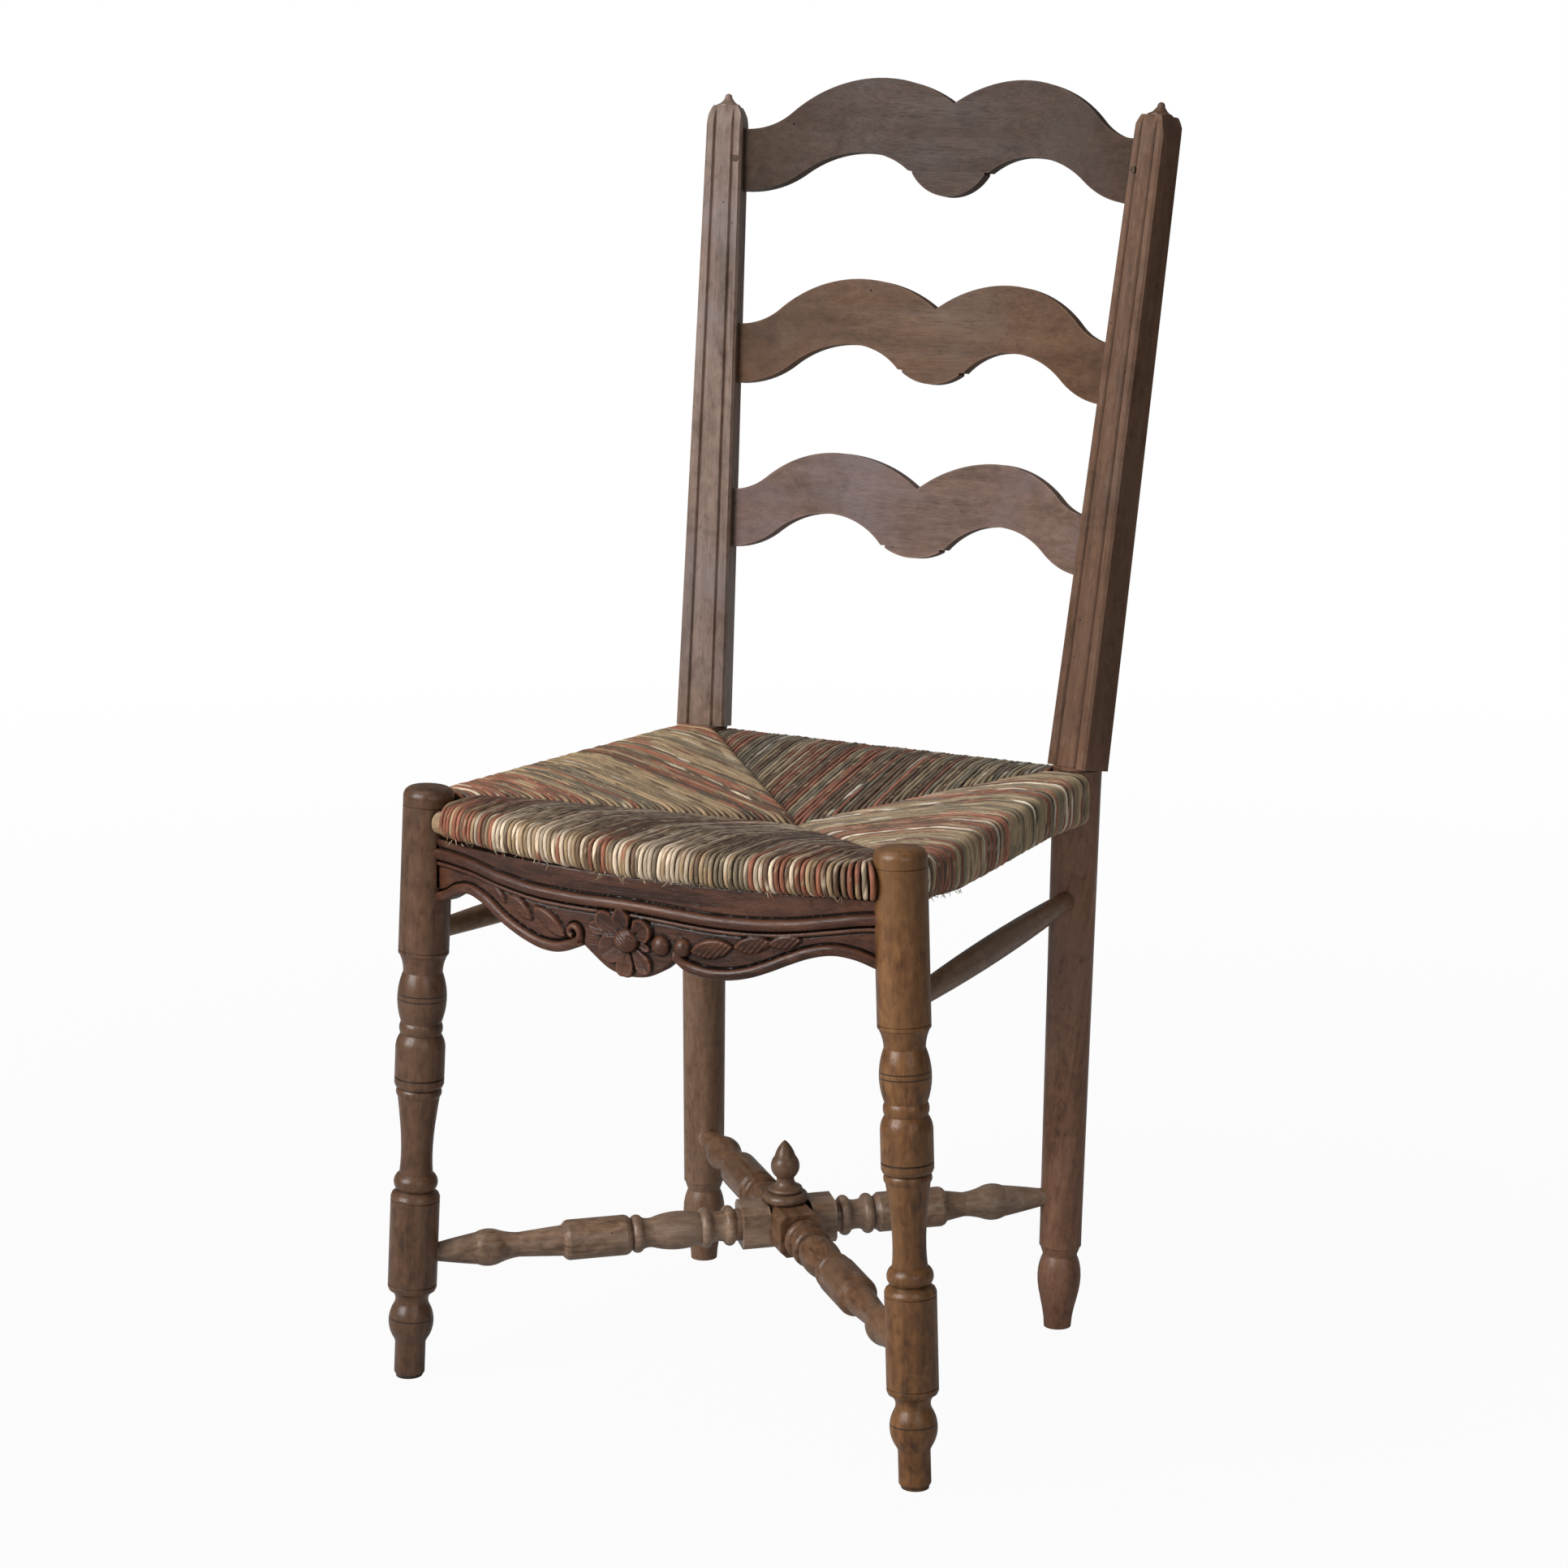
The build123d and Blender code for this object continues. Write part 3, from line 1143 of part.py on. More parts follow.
# Finial on the crossing
with BuildPart() as cross_finial:
    with BuildSketch(Plane(origin=hub_top, x_dir=(1, 0, 0), z_dir=Vector(1, 0, 0).cross(rise))):
        with BuildLine():
            Polyline(
                (0, -FINIAL_TENON_LENGTH),
                (FINIAL_TENON_R, -FINIAL_TENON_LENGTH),
                (FINIAL_TENON_R, 0),
                (FINIAL_DISC_R - LIP, 0),
            )
            ThreePointArc(
                (FINIAL_DISC_R - LIP, 0),
                (FINIAL_DISC_R, FINIAL_DISC / 2),
                (FINIAL_DISC_R - 2 * LIP, FINIAL_DISC),
            )
            Polyline((FINIAL_DISC_R - 2 * LIP, FINIAL_DISC), (FINIAL_STEP_R, FINIAL_DISC + LIP))
            ThreePointArc(
                (FINIAL_STEP_R, FINIAL_DISC + LIP),
                (FINIAL_STEP_R + LIP, (FINIAL_DISC + FINIAL_STEP) / 2),
                (FINIAL_STEP_R - LIP, FINIAL_STEP),
            )
            ThreePointArc(
                (FINIAL_STEP_R - LIP, FINIAL_STEP),
                (FINIAL_NECK_R + LIP, FINIAL_STEP + EASE),
                (FINIAL_NECK_R, FINIAL_NECK),
            )
            ThreePointArc(
                (FINIAL_NECK_R, FINIAL_NECK),
                (FINIAL_BEAD_R, FINIAL_BEAD),
                (FINIAL_COLLAR_R, FINIAL_COLLAR),
            )
            ThreePointArc(
                (FINIAL_COLLAR_R, FINIAL_COLLAR),
                (FINIAL_CONE_R, (FINIAL_COLLAR + FINIAL_HEIGHT) / 2),
                (TIP_R, FINIAL_HEIGHT),
            )
            Polyline((TIP_R, FINIAL_HEIGHT), (0, FINIAL_HEIGHT), (0, -FINIAL_TENON_LENGTH))
        make_face()
    revolve(axis=Axis(hub_top, rise))
cross_finial.part.label = "cross_finial"
export_step(cross_finial.part, "parts/cross_finial.step")

# Rush seat: a woven bag, rolled round the four rails and dished between them
with BuildPart() as rush_seat:
    add(sagging_layer(ROLL_OVERRUN, 0))
    with BuildSketch(Plane.XY.offset(FRONT_ROLL_BOTTOM)):
        with BuildLine():
            left_end, right_end = front_rail_end[LEFT], front_rail_end[RIGHT]
            lens_back = left_end.Y + 2 * ROLL_OVERRUN
            ThreePointArc((left_end.X, left_end.Y), (0, rail_bow.point(0).Y), (right_end.X, right_end.Y))
            Polyline(
                (right_end.X, right_end.Y),
                (right_end.X - ROLL_OVERRUN, lens_back),
                (left_end.X + ROLL_OVERRUN, lens_back),
                (left_end.X, left_end.Y),
            )
        make_face()
    extrude(amount=SEAT_HEIGHT - RUSH_PANEL_DROP - FRONT_ROLL_BOTTOM)
    bowed_rail(rail_bow, RUSH_WALL, -ROLL_OVERRUN)
    for rail in STRAIGHT_RAILS:
        straight_rail(rail, RUSH_WALL, -ROLL_OVERRUN)
    # Room for the legs, the rails and the padding
    for sign in SIDES.values():
        leg_bore(sign)
        post_bore(sign)
    bowed_rail(rail_bow, SOFT_GAP, -2 * ROLL_OVERRUN, Mode.SUBTRACT)
    for rail in STRAIGHT_RAILS:
        straight_rail(rail, SOFT_GAP, -2 * ROLL_OVERRUN, Mode.SUBTRACT)
    add(sagging_layer(SIDE_RAIL_WIDTH / 2, RUSH_WALL), mode=Mode.SUBTRACT)
rush_seat.part.label = "rush_seat"
export_step(rush_seat.part, "parts/rush_seat.step")

# Padding between the two layers of rush
with BuildPart() as rush_padding:
    add(sagging_layer(SIDE_RAIL_WIDTH / 2 + 2 * SOFT_GAP, RUSH_WALL + SOFT_GAP))
    for sign in SIDES.values():
        leg_bore(sign)
        post_bore(sign)
rush_padding.part.label = "rush_padding"
export_step(rush_padding.part, "parts/rush_padding.step")
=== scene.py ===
"""Looks of a rush seat chair: worn walnut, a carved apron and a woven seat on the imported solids."""

import logging
import math
import random
from collections.abc import Sequence
from dataclasses import dataclass, field, replace
from enum import Enum
from typing import Any

import bpy
import numpy as np
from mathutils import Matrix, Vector


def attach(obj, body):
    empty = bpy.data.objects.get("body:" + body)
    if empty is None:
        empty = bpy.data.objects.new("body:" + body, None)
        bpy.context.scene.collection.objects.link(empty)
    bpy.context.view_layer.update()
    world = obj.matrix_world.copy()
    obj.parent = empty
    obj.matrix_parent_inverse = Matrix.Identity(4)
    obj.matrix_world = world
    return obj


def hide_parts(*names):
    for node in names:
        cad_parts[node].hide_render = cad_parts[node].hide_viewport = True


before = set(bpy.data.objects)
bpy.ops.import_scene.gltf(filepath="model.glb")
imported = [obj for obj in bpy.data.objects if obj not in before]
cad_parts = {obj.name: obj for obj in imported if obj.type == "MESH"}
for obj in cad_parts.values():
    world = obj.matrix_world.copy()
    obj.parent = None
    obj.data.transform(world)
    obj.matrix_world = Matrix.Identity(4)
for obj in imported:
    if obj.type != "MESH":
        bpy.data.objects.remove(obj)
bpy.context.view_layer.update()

LOG = logging.getLogger("rush_seat_chair")
MM = 0.001
TURN = 2 * math.pi
PHASE = 6.28
GOUGE = 0.75
BODY = "root"

Colour = tuple[float, float, float]
Points = Sequence[tuple[float, float]]
Socket = bpy.types.NodeSocket


class Blend(Enum):
    """Ways to lay one colour over another."""

    MIX = "MIX"
    MULTIPLY = "MULTIPLY"


class Sum(Enum):
    """Sums that a finish does on its patterns."""

    ADD = "ADD"
    SUBTRACT = "SUBTRACT"
    MULTIPLY = "MULTIPLY"


class Recipe:
    """A material in the making: one principled shader and short ways to feed it."""

    def __init__(self, name: str) -> None:
        """Start an empty material.

        Args:
            name: Name of the material.
        """
        self.material = bpy.data.materials.new(name)
        self.material.use_nodes = True
        self.tree = self.material.node_tree
        self.tree.nodes.clear()
        self.output = self.tree.nodes.new("ShaderNodeOutputMaterial")
        self.shader = self.tree.nodes.new("ShaderNodeBsdfPrincipled")
        self.tree.links.new(self.shader.outputs[0], self.output.inputs["Surface"])

    def feed(self, node: bpy.types.Node, inputs: dict[Any, Any]) -> None:
        """Link or set a node's inputs.

        Args:
            node: Node to feed.
            inputs: Sockets to link or plain values to set, by input name or number.
        """
        for key, value in inputs.items():
            if isinstance(value, Socket):
                self.tree.links.new(value, node.inputs[key])
            else:
                node.inputs[key].default_value = value

    def add(self, kind: str, inputs: dict[Any, Any], **settings: Any) -> bpy.types.Node:
        """Add a node.

        Args:
            kind: Blender's name of the node type.
            inputs: Sockets or values for its inputs.
            **settings: Properties of the node.

        Returns:
            The new node.
        """
        node = self.tree.nodes.new(kind)
        for key, value in settings.items():
            setattr(node, key, value)
        self.feed(node, inputs)
        return node

    def place(self) -> Socket:
        """Positions in the chair's own frame."""
        return self.add("ShaderNodeTexCoord", {}).outputs["Object"]

    def height(self) -> Socket:
        """Height above the floor."""
        return self.add("ShaderNodeSeparateXYZ", {0: self.place()}).outputs[2]

    def attribute(self, name: str) -> bpy.types.Node:
        """A value stored on the mesh."""
        return self.add("ShaderNodeAttribute", {}, attribute_name=name)

    def turn(self, vector: Socket, grain: Vector) -> Socket:
        """Turn positions so that a piece's grain runs along Z.

        Args:
            vector: Positions.
            grain: Direction of the grain.

        Returns:
            The turned positions.
        """
        angles = grain.normalized().rotation_difference(Vector((0, 0, 1))).to_euler()
        return self.add("ShaderNodeMapping", {"Vector": vector, "Rotation": angles}).outputs[0]

    def stretch(self, vector: Socket, scale: Sequence[float], shift: float = 0.0) -> Socket:
        """Scale positions along each axis, with a shift that sets one piece apart from the next.

        Args:
            vector: Positions.
            scale: Factors along X, Y and Z.
            shift: Distance added along every axis.

        Returns:
            The scaled positions.
        """
        node = self.add("ShaderNodeMapping", {"Vector": vector, "Scale": scale, "Location": (shift,) * 3})
        return node.outputs[0]

    def noise(self, vector: Socket, scale: float, detail: float = 3.0, warp: float = 0.0) -> Socket:
        """Cloudy pattern from 0 to 1.

        Args:
            vector: Positions.
            scale: Features per metre.
            detail: Number of finer layers.
            warp: Distortion of the pattern.

        Returns:
            The pattern.
        """
        inputs = {"Vector": vector, "Scale": scale, "Detail": detail, "Distortion": warp}
        return self.add("ShaderNodeTexNoise", inputs).outputs[0]

    def dots(self, vector: Socket, scale: float) -> Socket:
        """Distance to the nearest of many scattered points."""
        return self.add("ShaderNodeTexVoronoi", {"Vector": vector, "Scale": scale}).outputs["Distance"]

    def rings(self, vector: Socket, stations: Sequence[float], half: float) -> Socket:
        """Thin lines scribed round a turned piece.

        Args:
            vector: Positions, with the piece's axis along Z.
            stations: Places of the lines along the axis.
            half: Half the width of a line.

        Returns:
            1 on the lines and 0 elsewhere.
        """
        run = self.add("ShaderNodeSeparateXYZ", {0: vector}).outputs[2]
        marks: Any = 0.0
        for station in stations:
            mark = self.add("ShaderNodeMath", {0: run, 1: station, 2: half}, operation="COMPARE").outputs[0]
            marks = self.sum(Sum.ADD, marks, mark)
        return marks

    def level(self, value: Socket, low: float, high: float, top: float = 1.0) -> Socket:
        """Spread a range of a pattern over 0 to a top value, clamped.

        Args:
            value: Pattern.
            low: Value that becomes 0.
            high: Value that becomes the top value.
            top: Top value.

        Returns:
            The spread pattern.
        """
        inputs = {"Value": value, "From Min": low, "From Max": high, "To Min": 0.0, "To Max": top}
        return self.add("ShaderNodeMapRange", inputs).outputs[0]

    def sum(self, kind: Sum, first: Any, second: Any) -> Socket:
        """A sum of two patterns or numbers."""
        return self.add("ShaderNodeMath", {0: first, 1: second}, operation=kind.value).outputs[0]

    def ramp(self, value: Socket, stops: Sequence[tuple[float, Colour]]) -> Socket:
        """Colours along a pattern.

        Args:
            value: Pattern from 0 to 1.
            stops: Positions and their colours.

        Returns:
            The colour.
        """
        node = self.add("ShaderNodeValToRGB", {0: value})
        band = node.color_ramp
        while len(band.elements) < len(stops):
            band.elements.new(0.5)
        for element, (position, colour) in zip(band.elements, stops):
            element.position = position
            element.color = (*colour, 1.0)
        return node.outputs[0]

    def lay(self, kind: Blend, share: Any, under: Any, over: Any) -> Socket:
        """Lay one colour over another.

        Args:
            kind: How they combine.
            share: How much of the upper colour shows.
            under: Lower colour.
            over: Upper colour.

        Returns:
            The combined colour.
        """
        node = self.add("ShaderNodeMix", {0: share}, data_type="RGBA", blend_type=kind.value)
        for index, colour in ((6, under), (7, over)):
            self.feed(node, {index: colour if isinstance(colour, Socket) else (*colour, 1.0)})
        return node.outputs[2]

    def recess(self, reach: float, inside: bool = False) -> Socket:
        """How open the surface is, from 0 in a crease to 1; inside, the same for outer edges.

        Args:
            reach: Distance that is looked at.
            inside: Whether to look at outer edges in place of creases.

        Returns:
            The openness.
        """
        node = self.add("ShaderNodeAmbientOcclusion", {"Distance": reach}, inside=inside, samples=6)
        return node.outputs["AO"]

    def bump(self, height: Socket, depth: float, normal: Socket | None = None) -> Socket:
        """A fine relief.

        Args:
            height: Pattern from 0 to 1.
            depth: Depth of the relief.
            normal: Surface direction to start from.

        Returns:
            The new surface direction.
        """
        inputs: dict[Any, Any] = {"Height": height, "Distance": depth, "Strength": 1.0}
        if normal is not None:
            inputs["Normal"] = normal
        return self.add("ShaderNodeBump", inputs).outputs[0]


@dataclass(frozen=True)
class Grain:
    """Patterns of the wood: features per metre, and the share of that number along the grain."""

    drawn: float = 0.09
    threaded: float = 0.03
    clumped: float = 0.5
    figure: float = 34.0
    fine: float = 420.0
    pores: float = 1500.0
    ribbon: float = 150.0
    mottle: float = 170.0
    cloud: float = 11.0
    stains: float = 26.0
    specks: float = 240.0
    rubbing: float = 60.0
    gloss: float = 70.0
    dents: float = 38.0


@dataclass(frozen=True)
class WoodFinish:
    """Worn and waxed wood with grain, pores, worm holes, grime, painted crease shade and rubbed edges;
    lengths in millimetres.
    """

    name: str
    dark: Colour
    mid: Colour
    light: Colour
    bloom: Colour
    bloom_share: float = 0.45
    roughness: float = 0.4
    rough_spread: float = 0.26
    worm_scale: float = 48.0
    edge_share: float = 0.5
    edge_reach: float = 2.2
    shine: float = 0.28
    wax: float = 0.04
    wax_roughness: float = 0.3
    foot: Colour = (1.0, 1.0, 1.0)
    foot_fade: tuple[float, float] = (500.0, 400.0)
    spread: float = 0.09
    figure_share: float = 0.4
    stripes: float = 0.35
    specks: float = 0.55
    lines: tuple[float, ...] = ()
    line_half: float = 0.5
    line_share: float = 0.8
    crease_reach: float = 7.0
    crease_share: float = 0.92
    pore_depth: float = 0.1
    hole_depth: float = 3.0
    dent_depth: float = 0.9
    # near-black for grime, worm holes and scribed lines, and for painted shade in creases and carved hollows
    dirt_and_shade: Colour = (0.012, 0.008, 0.006)
    stain: Colour = (0.52, 0.46, 0.42)
    speck: Colour = (0.4, 0.33, 0.28)
    pore: Colour = (0.35, 0.3, 0.28)
    pattern: Grain = Grain()

    def toned(self, factors: Colour) -> "WoodFinish":
        """The same finish, lighter or darker.

        Args:
            factors: Factors of red, green and blue.

        Returns:
            The new finish.
        """
        parts = ("dark", "mid", "light", "bloom")
        tones = {part: tuple(a * b for a, b in zip(getattr(self, part), factors)) for part in parts}
        return replace(self, **tones)

    def ground(self, recipe: Recipe, spot: Socket, fine: Socket) -> Socket:
        """Colour of the bare wood, light and dark along its figure.

        Args:
            recipe: Material in the making.
            spot: Positions, with the grain along Z.
            fine: The finest streaks.

        Returns:
            The colour.
        """
        look = self.pattern
        figure = recipe.noise(recipe.stretch(spot, (1, 1, look.drawn)), look.figure, 3, 0.8)
        ribbon = recipe.noise(recipe.stretch(spot, (1, 1, look.threaded)), look.ribbon, 3, 0.5)
        mottle = recipe.noise(recipe.stretch(spot, (1, 1, look.clumped), 1.0), look.mottle, 3, 0.6)
        thin = 0.1 + 0.43 * self.stripes
        rest = 1 - self.figure_share - thin - self.stripes
        shares = ((figure, self.figure_share), (fine, thin), (ribbon, self.stripes), (mottle, rest))
        tone: Any = 0.0
        for part, share in shares:
            tone = recipe.sum(Sum.ADD, tone, recipe.sum(Sum.MULTIPLY, part, share))
        stops = [(0.5 - self.spread, self.dark), (0.5, self.mid), (0.5 + self.spread, self.light)]
        return recipe.ramp(tone, stops)

    def age(self, recipe: Recipe, colour: Socket, spot: Socket, pores: Socket) -> Socket:
        """Lay bloom, stains, specks, open pores and a change of tone towards the foot over the bare wood.

        Args:
            recipe: Material in the making.
            colour: Colour of the bare wood.
            spot: Positions, with the grain along Z.
            pores: Where the pores are open.

        Returns:
            The colour.
        """
        look = self.pattern
        cloud = recipe.level(recipe.noise(spot, look.cloud, 4, 0.5), 0.46, 0.66, self.bloom_share)
        colour = recipe.lay(Blend.MIX, cloud, colour, self.bloom)
        stain = recipe.level(recipe.noise(spot, look.stains, 3, 1.2), 0.56, 0.72, 0.5)
        colour = recipe.lay(Blend.MULTIPLY, stain, colour, self.stain)
        clumps = recipe.noise(recipe.stretch(spot, (1, 1, look.clumped), 2.0), look.specks, 2, 0.6)
        colour = recipe.lay(Blend.MULTIPLY, recipe.level(clumps, 0.6, 0.68, self.specks), colour, self.speck)
        opened = recipe.sum(Sum.MULTIPLY, pores, 0.2 + self.stripes)
        colour = recipe.lay(Blend.MULTIPLY, opened, colour, self.pore)
        high, low = self.foot_fade
        lower = recipe.level(recipe.height(), high * MM, low * MM)
        return recipe.lay(Blend.MULTIPLY, lower, colour, self.foot)

    def rub_and_shade(self, recipe: Recipe, colour: Socket, spot: Socket, carved: bool) -> Socket:
        """Rub edges pale, darken creases with grime and painted shade, and paint highlight and shade on
        carving.

        Args:
            recipe: Material in the making.
            colour: Colour of the aged wood.
            spot: Positions, with the grain along Z.
            carved: Whether the mesh says where it is hollow and where it stands proud.

        Returns:
            The colour.
        """
        edge = recipe.level(recipe.recess(self.edge_reach * MM, inside=True), 0.86, 0.5, self.edge_share)
        patches = recipe.level(recipe.noise(spot, self.pattern.rubbing, 3), 0.35, 0.6)
        rubbed = recipe.sum(Sum.MULTIPLY, edge, patches)
        colour = recipe.lay(Blend.MIX, rubbed, colour, tuple(1.35 * part for part in self.light))
        # painted shade: creases darkened by ambient occlusion, standing for shade as well as grime
        crease = recipe.level(recipe.recess(self.crease_reach * MM), 0.8, 0.3, self.crease_share)
        colour = recipe.lay(Blend.MIX, crease, colour, self.dirt_and_shade)
        if carved:
            # painted highlight and shade on the carving: proud parts lightened (rubbing plus painted
            # highlight), hollows darkened (grime plus painted shade)
            hollow = recipe.attribute("hollow").outputs["Fac"]
            proud = recipe.level(hollow, -0.2, -1.0, 0.55)
            colour = recipe.lay(Blend.MIX, proud, colour, tuple(1.3 * part for part in self.light))
            colour = recipe.lay(Blend.MIX, recipe.level(hollow, 0.14, 0.95, 0.88), colour, self.dirt_and_shade)
        return colour

    def material(
        self, label: str, grain: Vector, shift: float = 0.0, carved: bool = False
    ) -> bpy.types.Material:
        """Make the finish for one direction of grain.

        Args:
            label: Name of the piece that wears it.
            grain: Direction of the grain in the chair's frame.
            shift: Distance that sets this piece's figure apart from the others'.
            carved: Whether the mesh says where it is hollow and where it stands proud.

        Returns:
            The material.
        """
        recipe, look = Recipe(f"{self.name}_{label}"), self.pattern
        turned = recipe.turn(recipe.place(), grain)
        spot = recipe.stretch(turned, (1, 1, 1), shift)
        streak = recipe.stretch(spot, (1, 1, look.threaded))
        fine = recipe.noise(streak, look.fine, 4, 0.2)
        pores = recipe.level(recipe.noise(streak, look.pores, 2), 0.56, 0.72)
        colour = self.age(recipe, self.ground(recipe, spot, fine), spot, pores)
        colour = self.rub_and_shade(recipe, colour, spot, carved)
        holes = recipe.level(recipe.dots(spot, self.worm_scale), 0.036, 0.026)
        colour = recipe.lay(Blend.MIX, holes, colour, self.dirt_and_shade)
        relief = recipe.sum(Sum.SUBTRACT, recipe.sum(Sum.MULTIPLY, fine, 0.5), pores)
        relief = recipe.sum(Sum.SUBTRACT, relief, recipe.sum(Sum.MULTIPLY, holes, self.hole_depth))
        if self.lines:
            scribed = recipe.rings(turned, [line * MM for line in self.lines], self.line_half * MM)
            dirty = recipe.sum(Sum.MULTIPLY, scribed, self.line_share)
            colour = recipe.lay(Blend.MIX, dirty, colour, self.dirt_and_shade)
            relief = recipe.sum(Sum.SUBTRACT, relief, recipe.sum(Sum.MULTIPLY, scribed, self.hole_depth))
        gloss = recipe.noise(recipe.stretch(spot, (1, 1, look.drawn)), look.gloss, 3)
        gloss = recipe.level(gloss, 0.2, 0.85, self.rough_spread)
        roughness = recipe.sum(Sum.ADD, gloss, self.roughness - 0.12)
        normal = recipe.bump(relief, self.pore_depth * MM)
        normal = recipe.bump(recipe.noise(spot, look.dents, 2), self.dent_depth * MM, normal)
        recipe.feed(recipe.shader, {"Base Color": colour, "Roughness": roughness, "Normal": normal})
        coat = {"Coat Weight": self.wax, "Coat Roughness": self.wax_roughness}
        recipe.feed(recipe.shader, {"Specular IOR Level": self.shine, **coat})
        return recipe.material


@dataclass(frozen=True)
class RushFinish:
    """Twisted dry rush, tinted cord by cord, darkened where worn, with painted shade in the gaps and painted
    glints; in millimetres.
    """

    name: str = "twisted_rush"
    worn: Colour = (0.095, 0.056, 0.039)
    straw_fleck_and_glint: Colour = (0.52, 0.38, 0.22)
    fibre_shades: tuple[Colour, Colour] = ((0.45, 0.4, 0.36), (1.25, 1.2, 1.12))
    fibre_share: float = 0.55
    fibre_depth: float = 0.35
    fleck_and_glint_share: float = 0.6
    painted_gap_shade: Colour = (0.12, 0.085, 0.06)
    gap_reach: float = 4.0
    roughness: float = 0.52
    shine: float = 0.42
    sheen: float = 0.05

    def material(self) -> bpy.types.Material:
        """Make the finish; it reads the tint and the wear that each cord carries.

        Returns:
            The material.
        """
        recipe = Recipe(self.name)
        tint = recipe.attribute("tint").outputs["Color"]
        wear = recipe.attribute("wear").outputs["Fac"]
        thread = recipe.add("ShaderNodeUVMap", {}, uv_map="cord").outputs[0]
        fibre = recipe.noise(recipe.stretch(thread, (60, 900, 1)), 1.0, 3, 0.3)
        # pale dashes along the cords: partly paler fibre, partly painted glints of light
        fleck_and_glint = recipe.level(recipe.noise(recipe.stretch(thread, (95, 200, 1), 7.0), 1.0, 1), 0.63, 0.69)
        shades = recipe.ramp(fibre, list(zip((0.3, 0.62), self.fibre_shades)))
        colour = recipe.lay(Blend.MULTIPLY, self.fibre_share, tint, shades)
        streak = recipe.noise(recipe.stretch(thread, (24, 420, 1), 3.0), 1.0, 2)
        streak = recipe.level(streak, 0.32, 0.62, 0.5)
        cloud = recipe.level(recipe.noise(recipe.place(), 30, 3, 0.5), 0.3, 0.7, 0.25)
        grime = recipe.sum(Sum.ADD, recipe.sum(Sum.ADD, streak, cloud), 0.4)
        colour = recipe.lay(Blend.MIX, recipe.sum(Sum.MULTIPLY, wear, grime), colour, self.worn)
        # painted glints: the pale flecks are laid over the cords as painted highlights as well as paler fibre
        flecked_and_glinting = recipe.sum(Sum.MULTIPLY, fleck_and_glint, self.fleck_and_glint_share)
        colour = recipe.lay(Blend.MIX, flecked_and_glinting, colour, self.straw_fleck_and_glint)
        # painted shade: the gaps between cords darkened by ambient occlusion
        gap_shade_share = recipe.level(recipe.recess(self.gap_reach * MM), 0.85, 0.3, 0.9)
        colour = recipe.lay(Blend.MULTIPLY, gap_shade_share, colour, self.painted_gap_shade)
        normal = recipe.bump(fibre, self.fibre_depth * MM)
        recipe.feed(recipe.shader, {"Base Color": colour, "Roughness": self.roughness, "Normal": normal})
        sheen = {"Sheen Weight": self.sheen, "Sheen Roughness": 0.5}
        recipe.feed(recipe.shader, {"Specular IOR Level": self.shine, **sheen})
        return recipe.material


@dataclass(frozen=True)
class StuffingFinish:
    """Loose dry rush packed between the two woven layers."""

    name: str = "loose_stuffing"
    pale: Colour = (0.34, 0.26, 0.15)
    deep: Colour = (0.12, 0.085, 0.05)

    def material(self) -> bpy.types.Material:
        """Make the finish.

        Returns:
            The material.
        """
        recipe = Recipe(self.name)
        strands = recipe.noise(recipe.stretch(recipe.place(), (1, 6, 4)), 120, 4, 1.5)
        colour = recipe.ramp(strands, [(0.35, self.deep), (0.65, self.pale)])
        normal = recipe.bump(strands, 1.5 * MM)
        recipe.feed(recipe.shader, {"Base Color": colour, "Roughness": 0.8, "Normal": normal})
        return recipe.material


WALNUT_LEG = WoodFinish(
    name="leg_walnut",
    dark=(0.056, 0.025, 0.0105),
    mid=(0.142, 0.067, 0.029),
    light=(0.215, 0.11, 0.052),
    bloom=(0.148, 0.082, 0.042),
    roughness=0.33,
    worm_scale=56.0,
    shine=0.36,
    spread=0.12,
    stripes=0.08,
    wax=0.4,
    specks=0.2,
    lines=(32.6, 228.4, 291.8, 295.9),
    crease_reach=6.0,
)
WALNUT_POST = WoodFinish(
    name="post_walnut",
    dark=(0.075, 0.04, 0.023),
    mid=(0.175, 0.096, 0.058),
    light=(0.245, 0.146, 0.094),
    bloom=(0.19, 0.124, 0.095),
    roughness=0.36,
    shine=0.4,
    wax=0.2,
    specks=0.35,
    spread=0.15,
    stripes=0.18,
    crease_reach=2.6,
    crease_share=0.8,
)
WALNUT_SLAT = WoodFinish(
    name="slat_walnut",
    dark=(0.07, 0.041, 0.026),
    mid=(0.145, 0.087, 0.06),
    light=(0.21, 0.136, 0.1),
    bloom=(0.165, 0.12, 0.11),
    bloom_share=0.72,
    roughness=0.5,
    worm_scale=30.0,
    edge_share=0.7,
    shine=0.22,
    spread=0.17,
    stripes=0.14,
    specks=0.12,
)
WALNUT_APRON = WoodFinish(
    name="apron_walnut",
    dark=(0.033, 0.011, 0.0052),
    mid=(0.096, 0.035, 0.0175),
    light=(0.17, 0.067, 0.035),
    bloom=(0.08, 0.034, 0.022),
    roughness=0.32,
    worm_scale=26.0,
    shine=0.42,
    spread=0.12,
)
WALNUT_STRETCHER = WoodFinish(
    name="stretcher_walnut",
    dark=(0.11, 0.055, 0.026),
    mid=(0.24, 0.128, 0.067),
    light=(0.34, 0.2, 0.115),
    bloom=(0.24, 0.15, 0.096),
    roughness=0.33,
    worm_scale=60.0,
    shine=0.36,
    wax=0.4,
    specks=0.18,
    spread=0.12,
    stripes=0.08,
    crease_reach=4.5,
    crease_share=0.85,
)
PEG_WOOD = WoodFinish(
    name="peg_wood",
    dark=(0.06, 0.034, 0.021),
    mid=(0.12, 0.072, 0.047),
    light=(0.17, 0.11, 0.075),
    bloom=(0.12, 0.08, 0.06),
)
